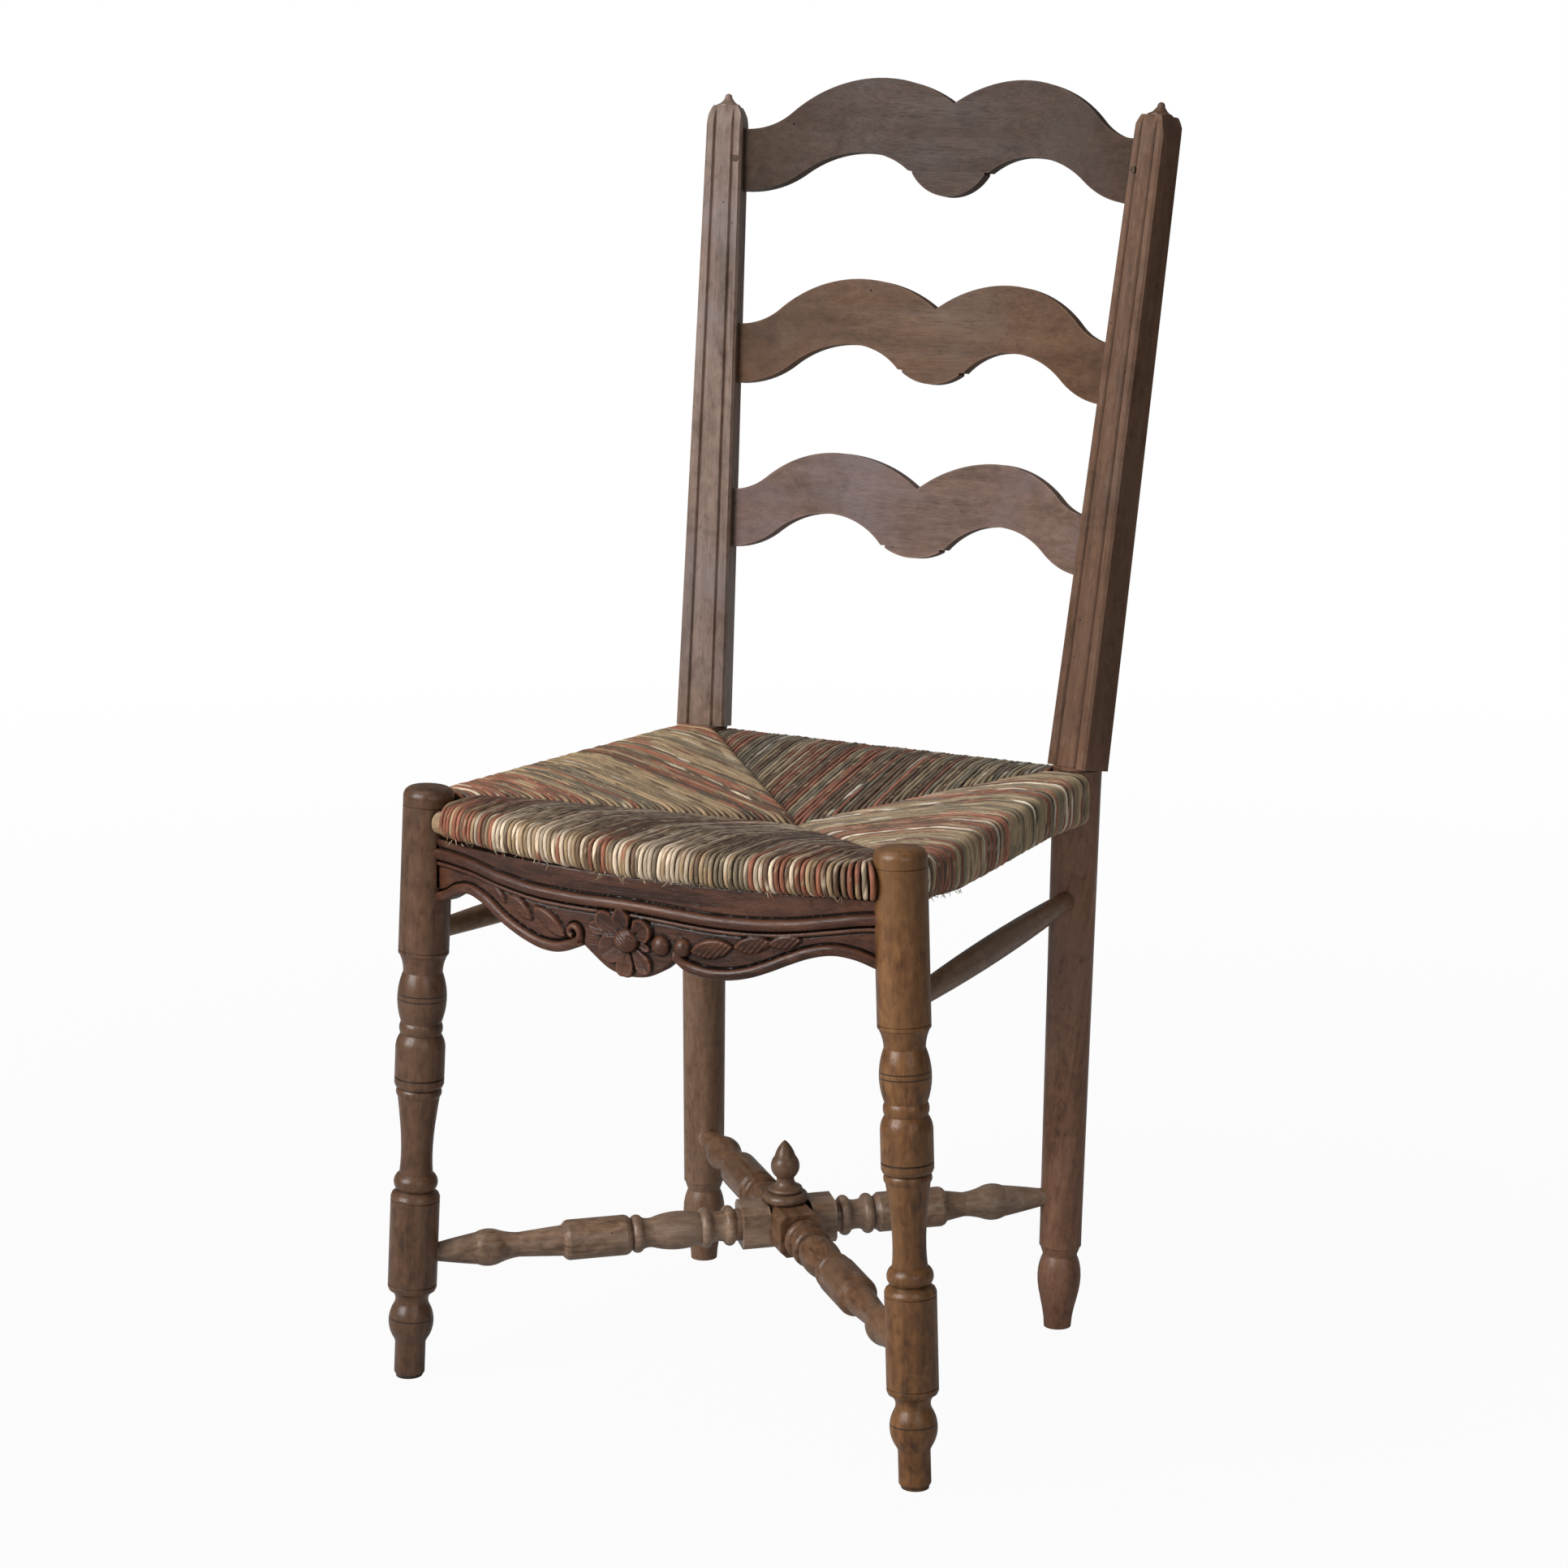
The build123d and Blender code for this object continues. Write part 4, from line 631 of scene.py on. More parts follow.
RAIL_BEECH = WoodFinish(
    name="rail_beech",
    dark=(0.3, 0.18, 0.09),
    mid=(0.45, 0.29, 0.16),
    light=(0.56, 0.38, 0.22),
    bloom=(0.42, 0.3, 0.19),
    roughness=0.6,
)


def dress(node: str, material: bpy.types.Material) -> None:
    """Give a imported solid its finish.

    Args:
        node: Name of the solid.
        material: Finish.
    """
    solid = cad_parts[node]
    solid.data.materials.clear()
    solid.data.materials.append(material)
    LOG.info("dressed %s in %s", node, material.name)


def make_mesh(name: str, corners: np.ndarray, faces: list[Sequence[int]]) -> bpy.types.Object:
    """Make a smooth mesh piece that rides with the chair.

    Args:
        name: Name of the piece.
        corners: Corner positions in millimetres.
        faces: Corner numbers of each face.

    Returns:
        The new piece.
    """
    mesh = bpy.data.meshes.new(name)
    mesh.from_pydata((corners * MM).tolist(), [], faces)
    mesh.polygons.foreach_set("use_smooth", np.ones(len(mesh.polygons), bool))
    mesh.update()
    piece = bpy.data.objects.new(name, mesh)
    bpy.context.scene.collection.objects.link(piece)
    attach(piece, BODY)
    return piece


def sweep(centre: np.ndarray, across: np.ndarray, thick: np.ndarray) -> np.ndarray:
    """Lay rings of corners round a line.

    Args:
        centre: Points of the line.
        across: A direction across it.
        thick: Distance from the line, by ring and by corner.

    Returns:
        Corners, ring after ring.
    """
    tangent = np.gradient(centre, axis=0)
    tangent /= np.linalg.norm(tangent, axis=1)[:, None]
    side = across - tangent * (tangent @ across)[:, None]
    side /= np.linalg.norm(side, axis=1)[:, None]
    out = np.cross(tangent, side)
    angles = np.linspace(0, TURN, thick.shape[1], endpoint=False)[None, :, None]
    rings = side[:, None, :] * np.cos(angles) + out[:, None, :] * np.sin(angles)
    return (centre[:, None, :] + rings * thick[:, :, None]).reshape(-1, 3)


def skin(first: int, rows: int, sides: int) -> list[list[int]]:
    """Join rings of corners into a closed tube.

    Args:
        first: Number of the first corner.
        rows: Number of rings.
        sides: Corners of each ring.

    Returns:
        Corner numbers of each face.
    """
    grid = first + np.arange(rows * sides).reshape(rows, sides)
    turned = np.roll(grid, -1, axis=1)
    quads = np.stack([grid[:-1], turned[:-1], turned[1:], grid[1:]], axis=2).reshape(-1, 4)
    return quads.tolist() + [grid[0][::-1].tolist(), grid[-1].tolist()]


def flowing(points: Points, x: np.ndarray) -> np.ndarray:
    """A smooth line through points, read at many stations.

    Args:
        points: Stations and heights, from left to right.
        x: Stations to read.

    Returns:
        Heights at the stations.
    """
    px, pz = (np.array(row, float) for row in zip(*points))
    slope = np.gradient(pz, px)
    index = np.clip(np.searchsorted(px, x) - 1, 0, len(px) - 2)
    span = px[index + 1] - px[index]
    t = np.clip((x - px[index]) / span, 0, 1)
    low, high = pz[index], pz[index + 1]
    rise = (2 * t**3 - 3 * t**2 + 1) * low + (3 * t**2 - 2 * t**3) * high
    return rise + span * ((t**3 - 2 * t**2 + t) * slope[index] + (t**3 - t**2) * slope[index + 1])


def slab(cell: np.ndarray) -> list[list[int]]:
    """Join two like grids of corners into a closed slab.

    Args:
        cell: Corner numbers of the first grid; those of the second follow on.

    Returns:
        Corner numbers of each face.
    """
    quads = np.stack([cell[:-1, :-1], cell[:-1, 1:], cell[1:, 1:], cell[1:, :-1]], axis=2).reshape(-1, 4)
    loop = np.concatenate([cell[0, :-1], cell[:-1, -1], cell[-1, :0:-1], cell[:0:-1, 0]])
    after = np.roll(loop, -1)
    rim = np.stack([after, loop, loop + cell.size, after + cell.size], axis=1)
    return quads.tolist() + (quads[:, ::-1] + cell.size).tolist() + rim.tolist()


def roll(offset: np.ndarray, half: float) -> np.ndarray:
    """Round section of a moulding, squared: 1 over its middle and 0 from its edges on."""
    return np.clip(1 - (offset / half) ** 2, 0, 1)


def groove(offset: np.ndarray) -> np.ndarray:
    """Section of a line cut with a small gouge: 1 in its middle and 0 away from it."""
    return np.exp(-((offset / GOUGE) ** 2))


def over(height: np.ndarray, where: np.ndarray, form: np.ndarray) -> np.ndarray:
    """Set a carved form on a relief, where it stands higher."""
    return np.where(where, np.maximum(height, form), height)


def mirrored(run: Vector, sign: int) -> Vector:
    """A direction on the left side of the chair, or its mirror image on the right."""
    return Vector((sign * run.x, run.y, run.z))


@dataclass
class TurnedFrame:
    """The turned legs, the posts, the stretchers and the finial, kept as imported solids."""

    front_lean: Vector = field(default_factory=lambda: Vector((21.8, 11.6, 463.0)))
    back_lean: Vector = field(default_factory=lambda: Vector((-24.7, 83.1, 517.0)))
    cross_run: Vector = field(default_factory=lambda: Vector((389.3, 354.4, 10.5)))
    side_run: Vector = field(default_factory=lambda: Vector((38.0, 354.0, 0.0)))
    # tone factors matched to measured brightness: partly each piece's own tone, partly painted light and
    # shade; the left post and left cross stretcher get painted light and reflection
    leg_tones_and_light: tuple[Colour, Colour] = ((0.88, 0.86, 0.96), (1.42, 1.26, 0.9))
    cross_tones_and_light: tuple[Colour, Colour] = ((1.38, 1.6, 1.95), (0.84, 0.78, 0.74))
    finial_tone: Colour = (0.8, 0.78, 0.8)
    # tone towards the foot: painted light on the right post's lower part; the left post is darker towards the
    # bottom
    post_feet_tones_and_light: tuple[Colour, Colour] = ((0.86, 0.71, 0.54), (1.72, 1.66, 1.74))
    post_tones_and_light: tuple[Colour, Colour] = ((1.66, 2.0, 2.5), (0.95, 0.86, 0.78))
    side_shift: float = 0.37
    finial_shift: float = 0.8

    def build(self) -> None:
        """Dress every piece with its own run of grain."""
        for index, side in enumerate(("left", "right")):
            sign = 1 - 2 * index
            shift = self.side_shift * index
            leg = WALNUT_LEG.toned(self.leg_tones_and_light[index])
            dress(f"front_leg_{side}", leg.material(side, mirrored(self.front_lean, sign), shift))
            post = replace(WALNUT_POST.toned(self.post_tones_and_light[index]), foot=self.post_feet_tones_and_light[index])
            dress(f"rear_post_{side}", post.material(side, mirrored(self.back_lean, sign), shift))
            cross = WALNUT_STRETCHER.toned(self.cross_tones_and_light[index])
            run = mirrored(self.cross_run, sign)
            dress(f"cross_stretcher_{side}", cross.material(f"cross_{side}", run, shift))
            run = mirrored(self.side_run, sign)
            dress(f"side_stretcher_{side}", WALNUT_STRETCHER.material(f"side_{side}", run, shift))
        finial = WALNUT_STRETCHER.toned(self.finial_tone)
        dress("cross_finial", finial.material("finial", Vector((0, 0, 1)), self.finial_shift))


@dataclass
class LadderBack:
    """The three bowed slats and the pegs of the crest."""

    run: Vector = field(default_factory=lambda: Vector((1, 0, 0)))
    slats: tuple[str, str, str] = ("crest", "middle", "lower")
    # tone factors matched to measured brightness: partly each slat's own tone, partly painted light and shade
    # (crest darkened, lower slat lightened)
    tones: tuple[Colour, Colour, Colour] = ((0.56, 0.53, 0.5), (0.95, 0.78, 0.58), (1.36, 1.35, 1.45))
    slat_shift: float = 0.23

    def build(self) -> None:
        """Dress the slats, each with its own figure, and the pegs with end grain."""
        for index, (slat, factors) in enumerate(zip(self.slats, self.tones)):
            finish = WALNUT_SLAT.toned(factors)
            dress(f"{slat}_slat", finish.material(slat, self.run, self.slat_shift * index))
        dress("crest_pegs", PEG_WOOD.material("crest", Vector((0, 1, 0))))


@dataclass
class Rail:
    """One side of the seat: the rail's axis in plan and the roll of rush round it, in millimetres."""

    name: str
    start: tuple[float, float]
    end: tuple[float, float]
    half_width: float
    half_height: float
    level: float
    cords: int
    margin: tuple[float, float]
    worn: float
    bow: float = 0.0
    fan: tuple[float, float] = (0.0, 0.0)
    tuck: tuple[float, float] = (0.0, 0.0)
    tuck_run: float = 90.0
    rise: tuple[float, float] = (0.0, 0.0)
    rise_run: float = 200.0
    fade: Colour = (1.0, 1.0, 1.0)

    def __post_init__(self) -> None:
        """Work out the directions along the rail and inwards, and the length that cords take up."""
        first, last = np.array(self.start), np.array(self.end)
        self.length = float(np.linalg.norm(last - first))
        self.along = (last - first) / self.length
        self.inward = np.array((-self.along[1], self.along[0]))
        self.usable = self.length - sum(self.margin)

    def tucked(self, station: float) -> float:
        """How far the underside of the roll is drawn up near the rail's ends."""
        ends = (station, self.length - station)
        return sum(lift * max(0.0, 1 - end / self.tuck_run) ** 1.5 for lift, end in zip(self.tuck, ends))

    def lifted(self, station: float) -> float:
        """Height of the roll's middle, which rises towards the rail's ends."""
        ends = (station, self.length - station)
        lifts = (rise * max(0.0, 1 - end / self.rise_run) for rise, end in zip(self.rise, ends))
        return self.level + sum(lifts)

    def swell(self, station: float) -> float:
        """How far the rail swells outwards at a station."""
        half = self.length / 2
        return self.bow * (1 - ((station - half) / half) ** 2)


@dataclass(frozen=True)
class Tint:
    """Colours that a run of cords is picked from, with their weights."""

    until: float
    weights: tuple[float, float, float, float, float]


@dataclass(frozen=True)
class Fray:
    """Stray fibres along one rail: its number, the stations they lie between, how many and how long."""

    rail: int
    span: tuple[float, float]
    count: int
    length: float


class Dye(Enum):
    """Colours of the rush."""

    CREAM = (0.82, 0.68, 0.5)
    STRAW = (0.49, 0.35, 0.2)
    CORAL = (0.4, 0.15, 0.085)
    OLIVE = (0.25, 0.2, 0.13)
    BROWN = (0.185, 0.112, 0.066)


@dataclass
class RushSeat:
    """The woven seat: every cord runs from a mitre over its rail and back below; in millimetres."""

    front: float = -213.4
    back: float = 141.2
    front_half: float = 204.2
    back_half: float = 172.6
    margin: float = 19.5
    apex: tuple[float, float] = (0.0, -9.6)
    top: float = 463.0
    dish: float = 35.0
    under_dish: float = 23.0
    sag: float = 1.1
    rim: float = 18.0
    corner: float = 9.0
    corner_points: int = 6
    radius: float = 2.0
    sides: int = 9
    step: float = 3.4
    run_step: float = 5.0
    twist: float = 42.0
    dive: float = 7.0
    dive_run: float = 4.0
    dive_start: float = 0.35
    fan_run: float = 22.0
    jitter: float = 0.45
    slant: float = 1.3
    sway: float = 0.3
    ripple: float = 0.25
    ripple_run: float = 21.0
    girth: float = 13.0
    blur: float = 0.022
    splice_fade: float = 4.0
    own_dye: float = 0.7
    shoulder: tuple[float, float] = (6.0, 3.0)
    dish_drop: float = 8.0
    wear_edge: float = 0.3
    wear_run: tuple[float, float] = (3.0, 34.0)
    under_wear: float = 0.35
    face_wear: float = 0.05
    frays: tuple[Fray, ...] = (Fray(0, (30, 375), 44, 8.0), Fray(1, (24, 80), 14, 6.0))
    fray_wear: float = 0.1
    fray_radius: float = 0.42
    stuffing_inset: float = 16.0
    stuffing_half: tuple[float, float] = (184.0, 152.0)
    stuffing_cover: float = 6.5
    stuffing_base: float = 443.0
    stuffing_least: float = 3.0
    stuffing_grid: int = 31
    seed: int = 11

    def rails(self) -> list[Rail]:
        """The four rails, each run anticlockwise seen from above."""
        front_left, front_right = (-self.front_half, self.front), (self.front_half, self.front)
        back_left, back_right = (-self.back_half, self.back), (self.back_half, self.back)
        even = (self.margin, self.margin)
        return [
            Rail(
                "front", front_left, front_right, 17.5, 13.7, 449.3, 96, (29.0, self.margin), worn=0.9,
                bow=33.0, fan=(0.0, 13.0), rise=(5.5, 0.0), fade=(1.14, 1.12, 1.14),
            ),
            Rail(
                "right", front_right, back_right, 16.5, 19.5, 443.5, 80, even, worn=0.14,
                fan=(8.0, 6.0), tuck=(13.0, -7.0), fade=(1.0, 1.07, 1.18),
            ),
            Rail(
                "back", back_right, back_left, 15.5, 17.5, 444.5, 79, even, worn=0.38,
                fade=(1.04, 1.17, 1.36),
            ),
            Rail("left", back_left, front_left, 16.5, 21.7, 445.7, 80, even, worn=0.16, tuck=(0.0, 13.0)),
        ]

    def bands(self) -> dict[str, list[Tint]]:
        """How the dyes change along each rail."""
        coral, straw, olive = (0.5, 2.0, 6.5, 0.9, 2.0), (1.2, 6, 0.6, 2, 0.8), (0.6, 3, 0.6, 4.5, 1.6)
        worn, cream = (0.4, 1.6, 1.0, 2.5, 3), (7, 2.5, 0.4, 0.6, 0.6)
        mixed, bright = (3, 3, 2, 1, 1), (3, 1.2, 3.4, 0.5, 1.2)
        rows = {
            "front": (
                (0.12, coral), (0.38, cream), (0.5, mixed), (0.66, cream), (0.75, olive), (1.0, bright),
            ),
            "right": (
                (0.12, coral), (0.27, straw), (0.34, mixed), (0.46, coral), (0.72, straw),
                (0.8, coral), (1.0, straw),
            ),
            "back": ((0.3, olive), (0.55, worn), (0.7, coral), (0.86, olive), (1.0, coral)),
            "left": (
                (0.06, coral), (0.26, straw), (0.33, mixed), (0.46, coral), (0.6, straw),
                (0.72, olive), (1.0, coral),
            ),
        }
        return {name: [Tint(*band) for band in row] for name, row in rows.items()}

    def depth(self, rail: Rail) -> float:
        """Distance from a rail's chord inwards to the middle of the seat."""
        return float((np.array(self.apex) - np.array(rail.start)) @ rail.inward)

    def reach(self, rail: Rail, station: float) -> float:
        """Distance from a rail's chord inwards to the mitre at a station.

        Args:
            rail: Rail that the cord wraps.
            station: Distance along the rail.

        Returns:
            The distance.
        """
        middle = float((np.array(self.apex) - np.array(rail.start)) @ rail.along)
        share = station / middle if station < middle else (rail.length - station) / (rail.length - middle)
        return self.depth(rail) * share

    def profile(self, rail: Rail, station: float) -> np.ndarray:
        """The line of a cord in its own upright plane.

        Args:
            rail: Rail that the cord wraps.
            station: Distance along the rail.

        Returns:
            Rows of distance inwards from the rail's axis, and height.
        """
        half, tall = rail.half_width - self.radius, rail.half_height - self.radius
        bend = self.corner - self.radius
        level = rail.lifted(station)
        high, low = level + tall, level - tall + rail.tucked(station)
        swell = rail.swell(station)
        end = max(self.reach(rail, station) + swell, half)
        depth = self.depth(rail)

        def sink(distance: float) -> float:
            """Share of the dish's depth at a distance from the rail's axis."""
            share = (distance - swell - self.rim) / (depth - self.rim)
            return float(np.clip(share, 0, 1)) ** self.sag

        runs = np.arange(half, max(end - self.run_step, half + 0.1), self.run_step)
        top_end = high - self.dish * sink(end)
        base = low - self.under_dish * sink(end)
        dive = self.dive + high + self.radius - self.top
        line = [(end + self.dive_run, top_end - dive), (end, top_end - self.dive_start * dive)]
        line += [(d, high - self.dish * sink(d)) for d in runs[::-1]]
        line += [(0.0, high)]
        for first, middle in ((90, high - bend), (180, low + bend)):
            for angle in np.radians(np.linspace(first, first + 90, self.corner_points)):
                line.append((bend - half + bend * math.cos(angle), middle + bend * math.sin(angle)))
        line += [(0.0, low)]
        line += [(d, low - self.under_dish * sink(d)) for d in runs]
        line += [(end, base + self.dive_start * self.dive), (end + self.dive_run, base + self.dive)]
        return np.array(line)

    def resample(self, line: np.ndarray) -> tuple[np.ndarray, np.ndarray]:
        """Space a line's points evenly and round its bends.

        Args:
            line: Rows of distance and height.

        Returns:
            The new rows, and the distance run at each.
        """
        run = np.concatenate([[0], np.cumsum(np.linalg.norm(np.diff(line, axis=0), axis=1))])
        stations = np.linspace(0, run[-1], max(int(run[-1] / self.step), 12))
        even = np.stack([np.interp(stations, run, line[:, k]) for k in range(2)], axis=1)
        for _ in range(2):
            even[1:-1] = 0.25 * even[:-2] + 0.5 * even[1:-1] + 0.25 * even[2:]
        return even, stations

    def pick(self, rng: random.Random, weights: Sequence[float]) -> np.ndarray:
        """Pick a dye, a little lighter or darker than its name says."""
        dye = rng.choices(list(Dye), weights)[0]
        return np.array(dye.value) * rng.uniform(0.68, 1.25)

    def route(
        self, rail: Rail, station: float, share: float, waves: Points, rng: random.Random
    ) -> tuple[np.ndarray, np.ndarray, np.ndarray]:
        """Where one cord runs, with the slants and waves of hand weaving.

        Args:
            rail: Rail that the cord wraps.
            station: Distance along the rail.
            share: The same as a share of the cords.
            waves: Phases and lengths of the slow changes of slant.
            rng: Source of chance.

        Returns:
            Rows of distance and height, the distance run at each, and the points of the cord's middle.
        """
        even, run = self.resample(self.profile(rail, station))
        slant = sum(math.sin(phase + station / period) for phase, period in waves) * self.slant
        lean = slant * np.clip((self.top - even[:, 1]) / (2 * rail.half_height), 0, 1)
        near = [max(0.0, 1 - part * rail.usable / self.fan_run) for part in (share, 1 - share)]
        spread = near[1] * rail.fan[1] - near[0] * rail.fan[0]
        lean = lean + spread * np.clip(-even[:, 0] / rail.half_width, 0, 1)
        lean = lean + self.sway * np.sin(run / rng.uniform(14, 30) + rng.uniform(0, PHASE))
        inwards = even[:, :1] - rail.swell(station)
        plan = np.array(rail.start) + rail.along * (station + lean)[:, None] + rail.inward * inwards
        height = even[:, 1] + self.ripple * np.sin(run / self.ripple_run + rng.uniform(0, PHASE))
        return even, run, np.column_stack([plan, height])

    def weave(self, rail: Rail, bands: list[Tint], finish: bpy.types.Material) -> None:
        """Make all cords of one rail.

        Args:
            rail: Rail that the cords wrap.
            bands: Dyes along the rail.
            finish: Material of the cords.
        """
        rng = random.Random(f"{rail.name}{self.seed}")
        waves = [(rng.uniform(0, PHASE), rng.uniform(18, 46)) for _ in range(4)]
        corners, faces, tints, wears, threads = [], [], [], [], []
        count = 0
        angles = np.linspace(0, TURN, self.sides, endpoint=False)
        for index in range(rail.cords):
            share = (index + 0.5) / rail.cords
            station = rail.margin[0] + rail.usable * share + rng.uniform(-self.jitter, self.jitter)
            even, run, centre = self.route(rail, station, share, waves, rng)
            spin = TURN * run / (self.twist * rng.uniform(0.85, 1.2)) + rng.uniform(0, PHASE)
            around = angles[None, :] - spin[:, None]
            lobe = np.abs(np.cos(around)) ** 0.7
            thick = self.radius * rng.uniform(0.94, 1.06) * (0.86 + 0.19 * lobe)
            corners.append(sweep(centre, np.array((*rail.along, 0.0)), thick))
            place = min(max(share + rng.gauss(0, self.blur), 0.0), 1.0)
            weights = next(band.weights for band in bands if place <= band.until)
            tints.append(self.tint(rng, weights, run, around) * np.array(rail.fade))
            wears.append(self.wear(rail, station, even, rng))
            along = np.repeat(run[:, None] * MM + index, self.sides, axis=1)
            threads.append(np.stack([along, around / TURN * self.girth * MM], axis=2).reshape(-1, 2))
            faces.extend(skin(count, len(run), self.sides))
            count += len(run) * self.sides
        piece = make_mesh(f"rush_{rail.name}", np.concatenate(corners), faces)
        self.paint(piece, np.concatenate(tints), np.concatenate(wears), np.concatenate(threads))
        piece.data.materials.append(finish)
        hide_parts("rush_seat")
        LOG.info("wove %s: %d cords, %d corners", piece.name, rail.cords, count)

    def tint(
        self, rng: random.Random, weights: Sequence[float], run: np.ndarray, around: np.ndarray
    ) -> np.ndarray:
        """Colour of a cord's two strands, with splices along them.

        Args:
            rng: Source of chance.
            weights: Weights of the dyes.
            run: Distance along the cord.
            around: Angle round the twisting cord, by ring and by corner.

        Returns:
            One colour per corner.
        """
        main = self.pick(rng, weights)
        strands = []
        for _ in range(2):
            colour = np.repeat(main[None, :], len(run), axis=0)
            at = rng.uniform(-60, 40)
            while at < run[-1]:
                piece = rng.uniform(25, 120)
                if rng.random() < self.own_dye:
                    shade = main * rng.uniform(0.74, 1.26)
                else:
                    shade = self.pick(rng, weights)
                fade = np.clip((run - at) / self.splice_fade, 0, 1)[:, None]
                colour = colour * (1 - fade) + shade[None, :] * fade
                at += piece
            strands.append(colour)
        first = (np.cos(around) > 0)[:, :, None]
        return np.where(first, strands[0][:, None, :], strands[1][:, None, :]).reshape(-1, 3)

    def wear(self, rail: Rail, station: float, even: np.ndarray, rng: random.Random) -> np.ndarray:
        """How dark a cord is worn, from its outer face to the dish.

        Args:
            rail: Rail that the cord wraps.
            station: Distance along the rail.
            even: Rows of distance and height.
            rng: Source of chance.

        Returns:
            One value per corner.
        """
        level = rail.lifted(station)
        drop, run = self.shoulder
        upper = np.clip((even[:, 1] - (level + rail.half_height - drop)) / run, 0, 1)
        dished = (even[:, 0] > 0) & (even[:, 1] > level - self.dish_drop)
        start, run = self.wear_run
        inside = np.clip((even[:, 0] + rail.half_width - start) / run, 0, 1)
        onto = self.wear_edge + (1 - self.wear_edge) * inside
        worn = np.where(dished, 1.0, upper) * onto * rail.worn * rng.uniform(0.7, 1.12)
        below = np.where((even[:, 0] > 0) & ~dished, self.under_wear, self.face_wear)
        return np.repeat(np.maximum(worn, below), self.sides)

    def paint(
        self, piece: bpy.types.Object, tints: np.ndarray, wears: np.ndarray, threads: np.ndarray
    ) -> None:
        """Store each corner's tint, wear and place along its cord on the mesh.

        Args:
            piece: Woven piece.
            tints: Colours.
            wears: Wear values.
            threads: Places along and round the cords.
        """
        mesh = piece.data
        colour = mesh.color_attributes.new("tint", "FLOAT_COLOR", "POINT")
        values = np.column_stack([tints, np.ones(len(tints))])
        colour.data.foreach_set("color", values.astype(np.float32).ravel())
        worn = mesh.attributes.new("wear", "FLOAT", "POINT")
        worn.data.foreach_set("value", wears.astype(np.float32))
        layer = mesh.uv_layers.new(name="cord")
        loops = np.zeros(len(mesh.loops), np.int32)
        mesh.loops.foreach_get("vertex_index", loops)
        layer.uv.foreach_set("vector", threads[loops].astype(np.float32).ravel())

    def fray(self, rails: list[Rail], finish: bpy.types.Material) -> None:
        """Let stray fibres hang from the front roll and beside the right front leg.

        Args:
            rails: Rails of the seat.
            finish: Material of the fibres.
        """
        rng = random.Random(self.seed)
        corners, faces, tints, threads = [], [], [], []
        sides, points = 4, 7
        share = np.linspace(0, 1, points)[:, None]
        rows = [row for row in self.frays for _ in range(row.count)]
        stations = [rng.uniform(*row.span) for row in rows]
        for index, (row, station) in enumerate(zip(rows, stations)):
            rail = rails[row.rail]
            reach = row.length * rng.uniform(0.4, 1.2)
            outwards = rail.half_width - 3 + rail.swell(station)
            start = np.array(rail.start) + rail.along * station - rail.inward * outwards
            foot = rail.lifted(station) - rail.half_height + rail.tucked(station) + rng.uniform(1, 5)
            drift = rail.along * rng.uniform(-0.7, 0.7) - rail.inward * rng.uniform(0.1, 0.5)
            plan = start + reach * (drift * share + rail.along * rng.uniform(-0.4, 0.4) * share**2)
            height = foot - reach * (0.75 * share - rng.uniform(0.0, 0.5) * share**2)
            thick = np.repeat(self.fray_radius * (1 - 0.7 * share), sides, axis=1)
            corners.append(sweep(np.column_stack([plan, height]), np.array((*rail.along, 0.3)), thick))
            faces.extend(skin(index * points * sides, points, sides))
            tints.append(np.repeat(self.pick(rng, (3, 3, 1, 1, 1))[None, :], points * sides, axis=0))
            along = np.repeat(share * reach * MM + index, sides, axis=1)
            threads.append(np.stack([along, np.zeros_like(along)], axis=2).reshape(-1, 2))
        piece = make_mesh("rush_strays", np.concatenate(corners), faces)
        tint = np.concatenate(tints)
        self.paint(piece, tint, np.full(len(tint), self.fray_wear), np.concatenate(threads))
        piece.data.materials.append(finish)
        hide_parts("rush_seat")
        LOG.info("frayed %s: %d fibres", piece.name, len(rows))

    def stuff(self, rails: list[Rail]) -> None:
        """Make the loose stuffing between the two layers.

        Args:
            rails: Rails of the seat.
        """
        rng = np.random.default_rng(self.seed)
        grid = self.stuffing_grid
        share = np.linspace(0, 1, grid)
        front, back = self.front + self.stuffing_inset, self.back - self.stuffing_inset
        wide, narrow = self.stuffing_half
        x = (wide + (narrow - wide) * share[:, None]) * (2 * share[None, :] - 1)
        y = np.repeat(front + (back - front) * share[:, None], grid, axis=1)
        sinks = []
        for rail in rails:
            flat = np.stack([x - rail.start[0], y - rail.start[1]], axis=2)
            sinks.append((flat @ rail.inward - self.rim) / (self.depth(rail) - self.rim))
        sink = np.clip(np.min(sinks, axis=0), 0, 1) ** self.sag
        lumps = rng.uniform(-0.6, 0.6, (2, grid, grid))
        upper = self.top - self.stuffing_cover - self.dish * sink + lumps[0]
        lower = self.stuffing_base - self.under_dish * sink + lumps[1]
        lower = np.minimum(lower, upper - self.stuffing_least)
        corners = np.concatenate([np.stack([x, y, z], axis=2).reshape(-1, 3) for z in (upper, lower)])
        piece = make_mesh("rush_stuffing", corners, slab(np.arange(grid * grid).reshape(grid, grid)))
        piece.data.materials.append(StuffingFinish().material())
        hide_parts("rush_padding")
        LOG.info("packed %s", piece.name)

    def build(self) -> None:
        """Weave the four sides, pack the stuffing and dress the hidden rails."""
        rails = self.rails()
        finish = RushFinish().material()
        bands = self.bands()
        for rail in rails:
            self.weave(rail, bands[rail.name], finish)
        self.fray(rails, finish)
        self.stuff(rails)
        for rail in rails:
            run = Vector((*rail.along, 0))
            dress(f"seat_rail_{rail.name}", RAIL_BEECH.material(rail.name, run))


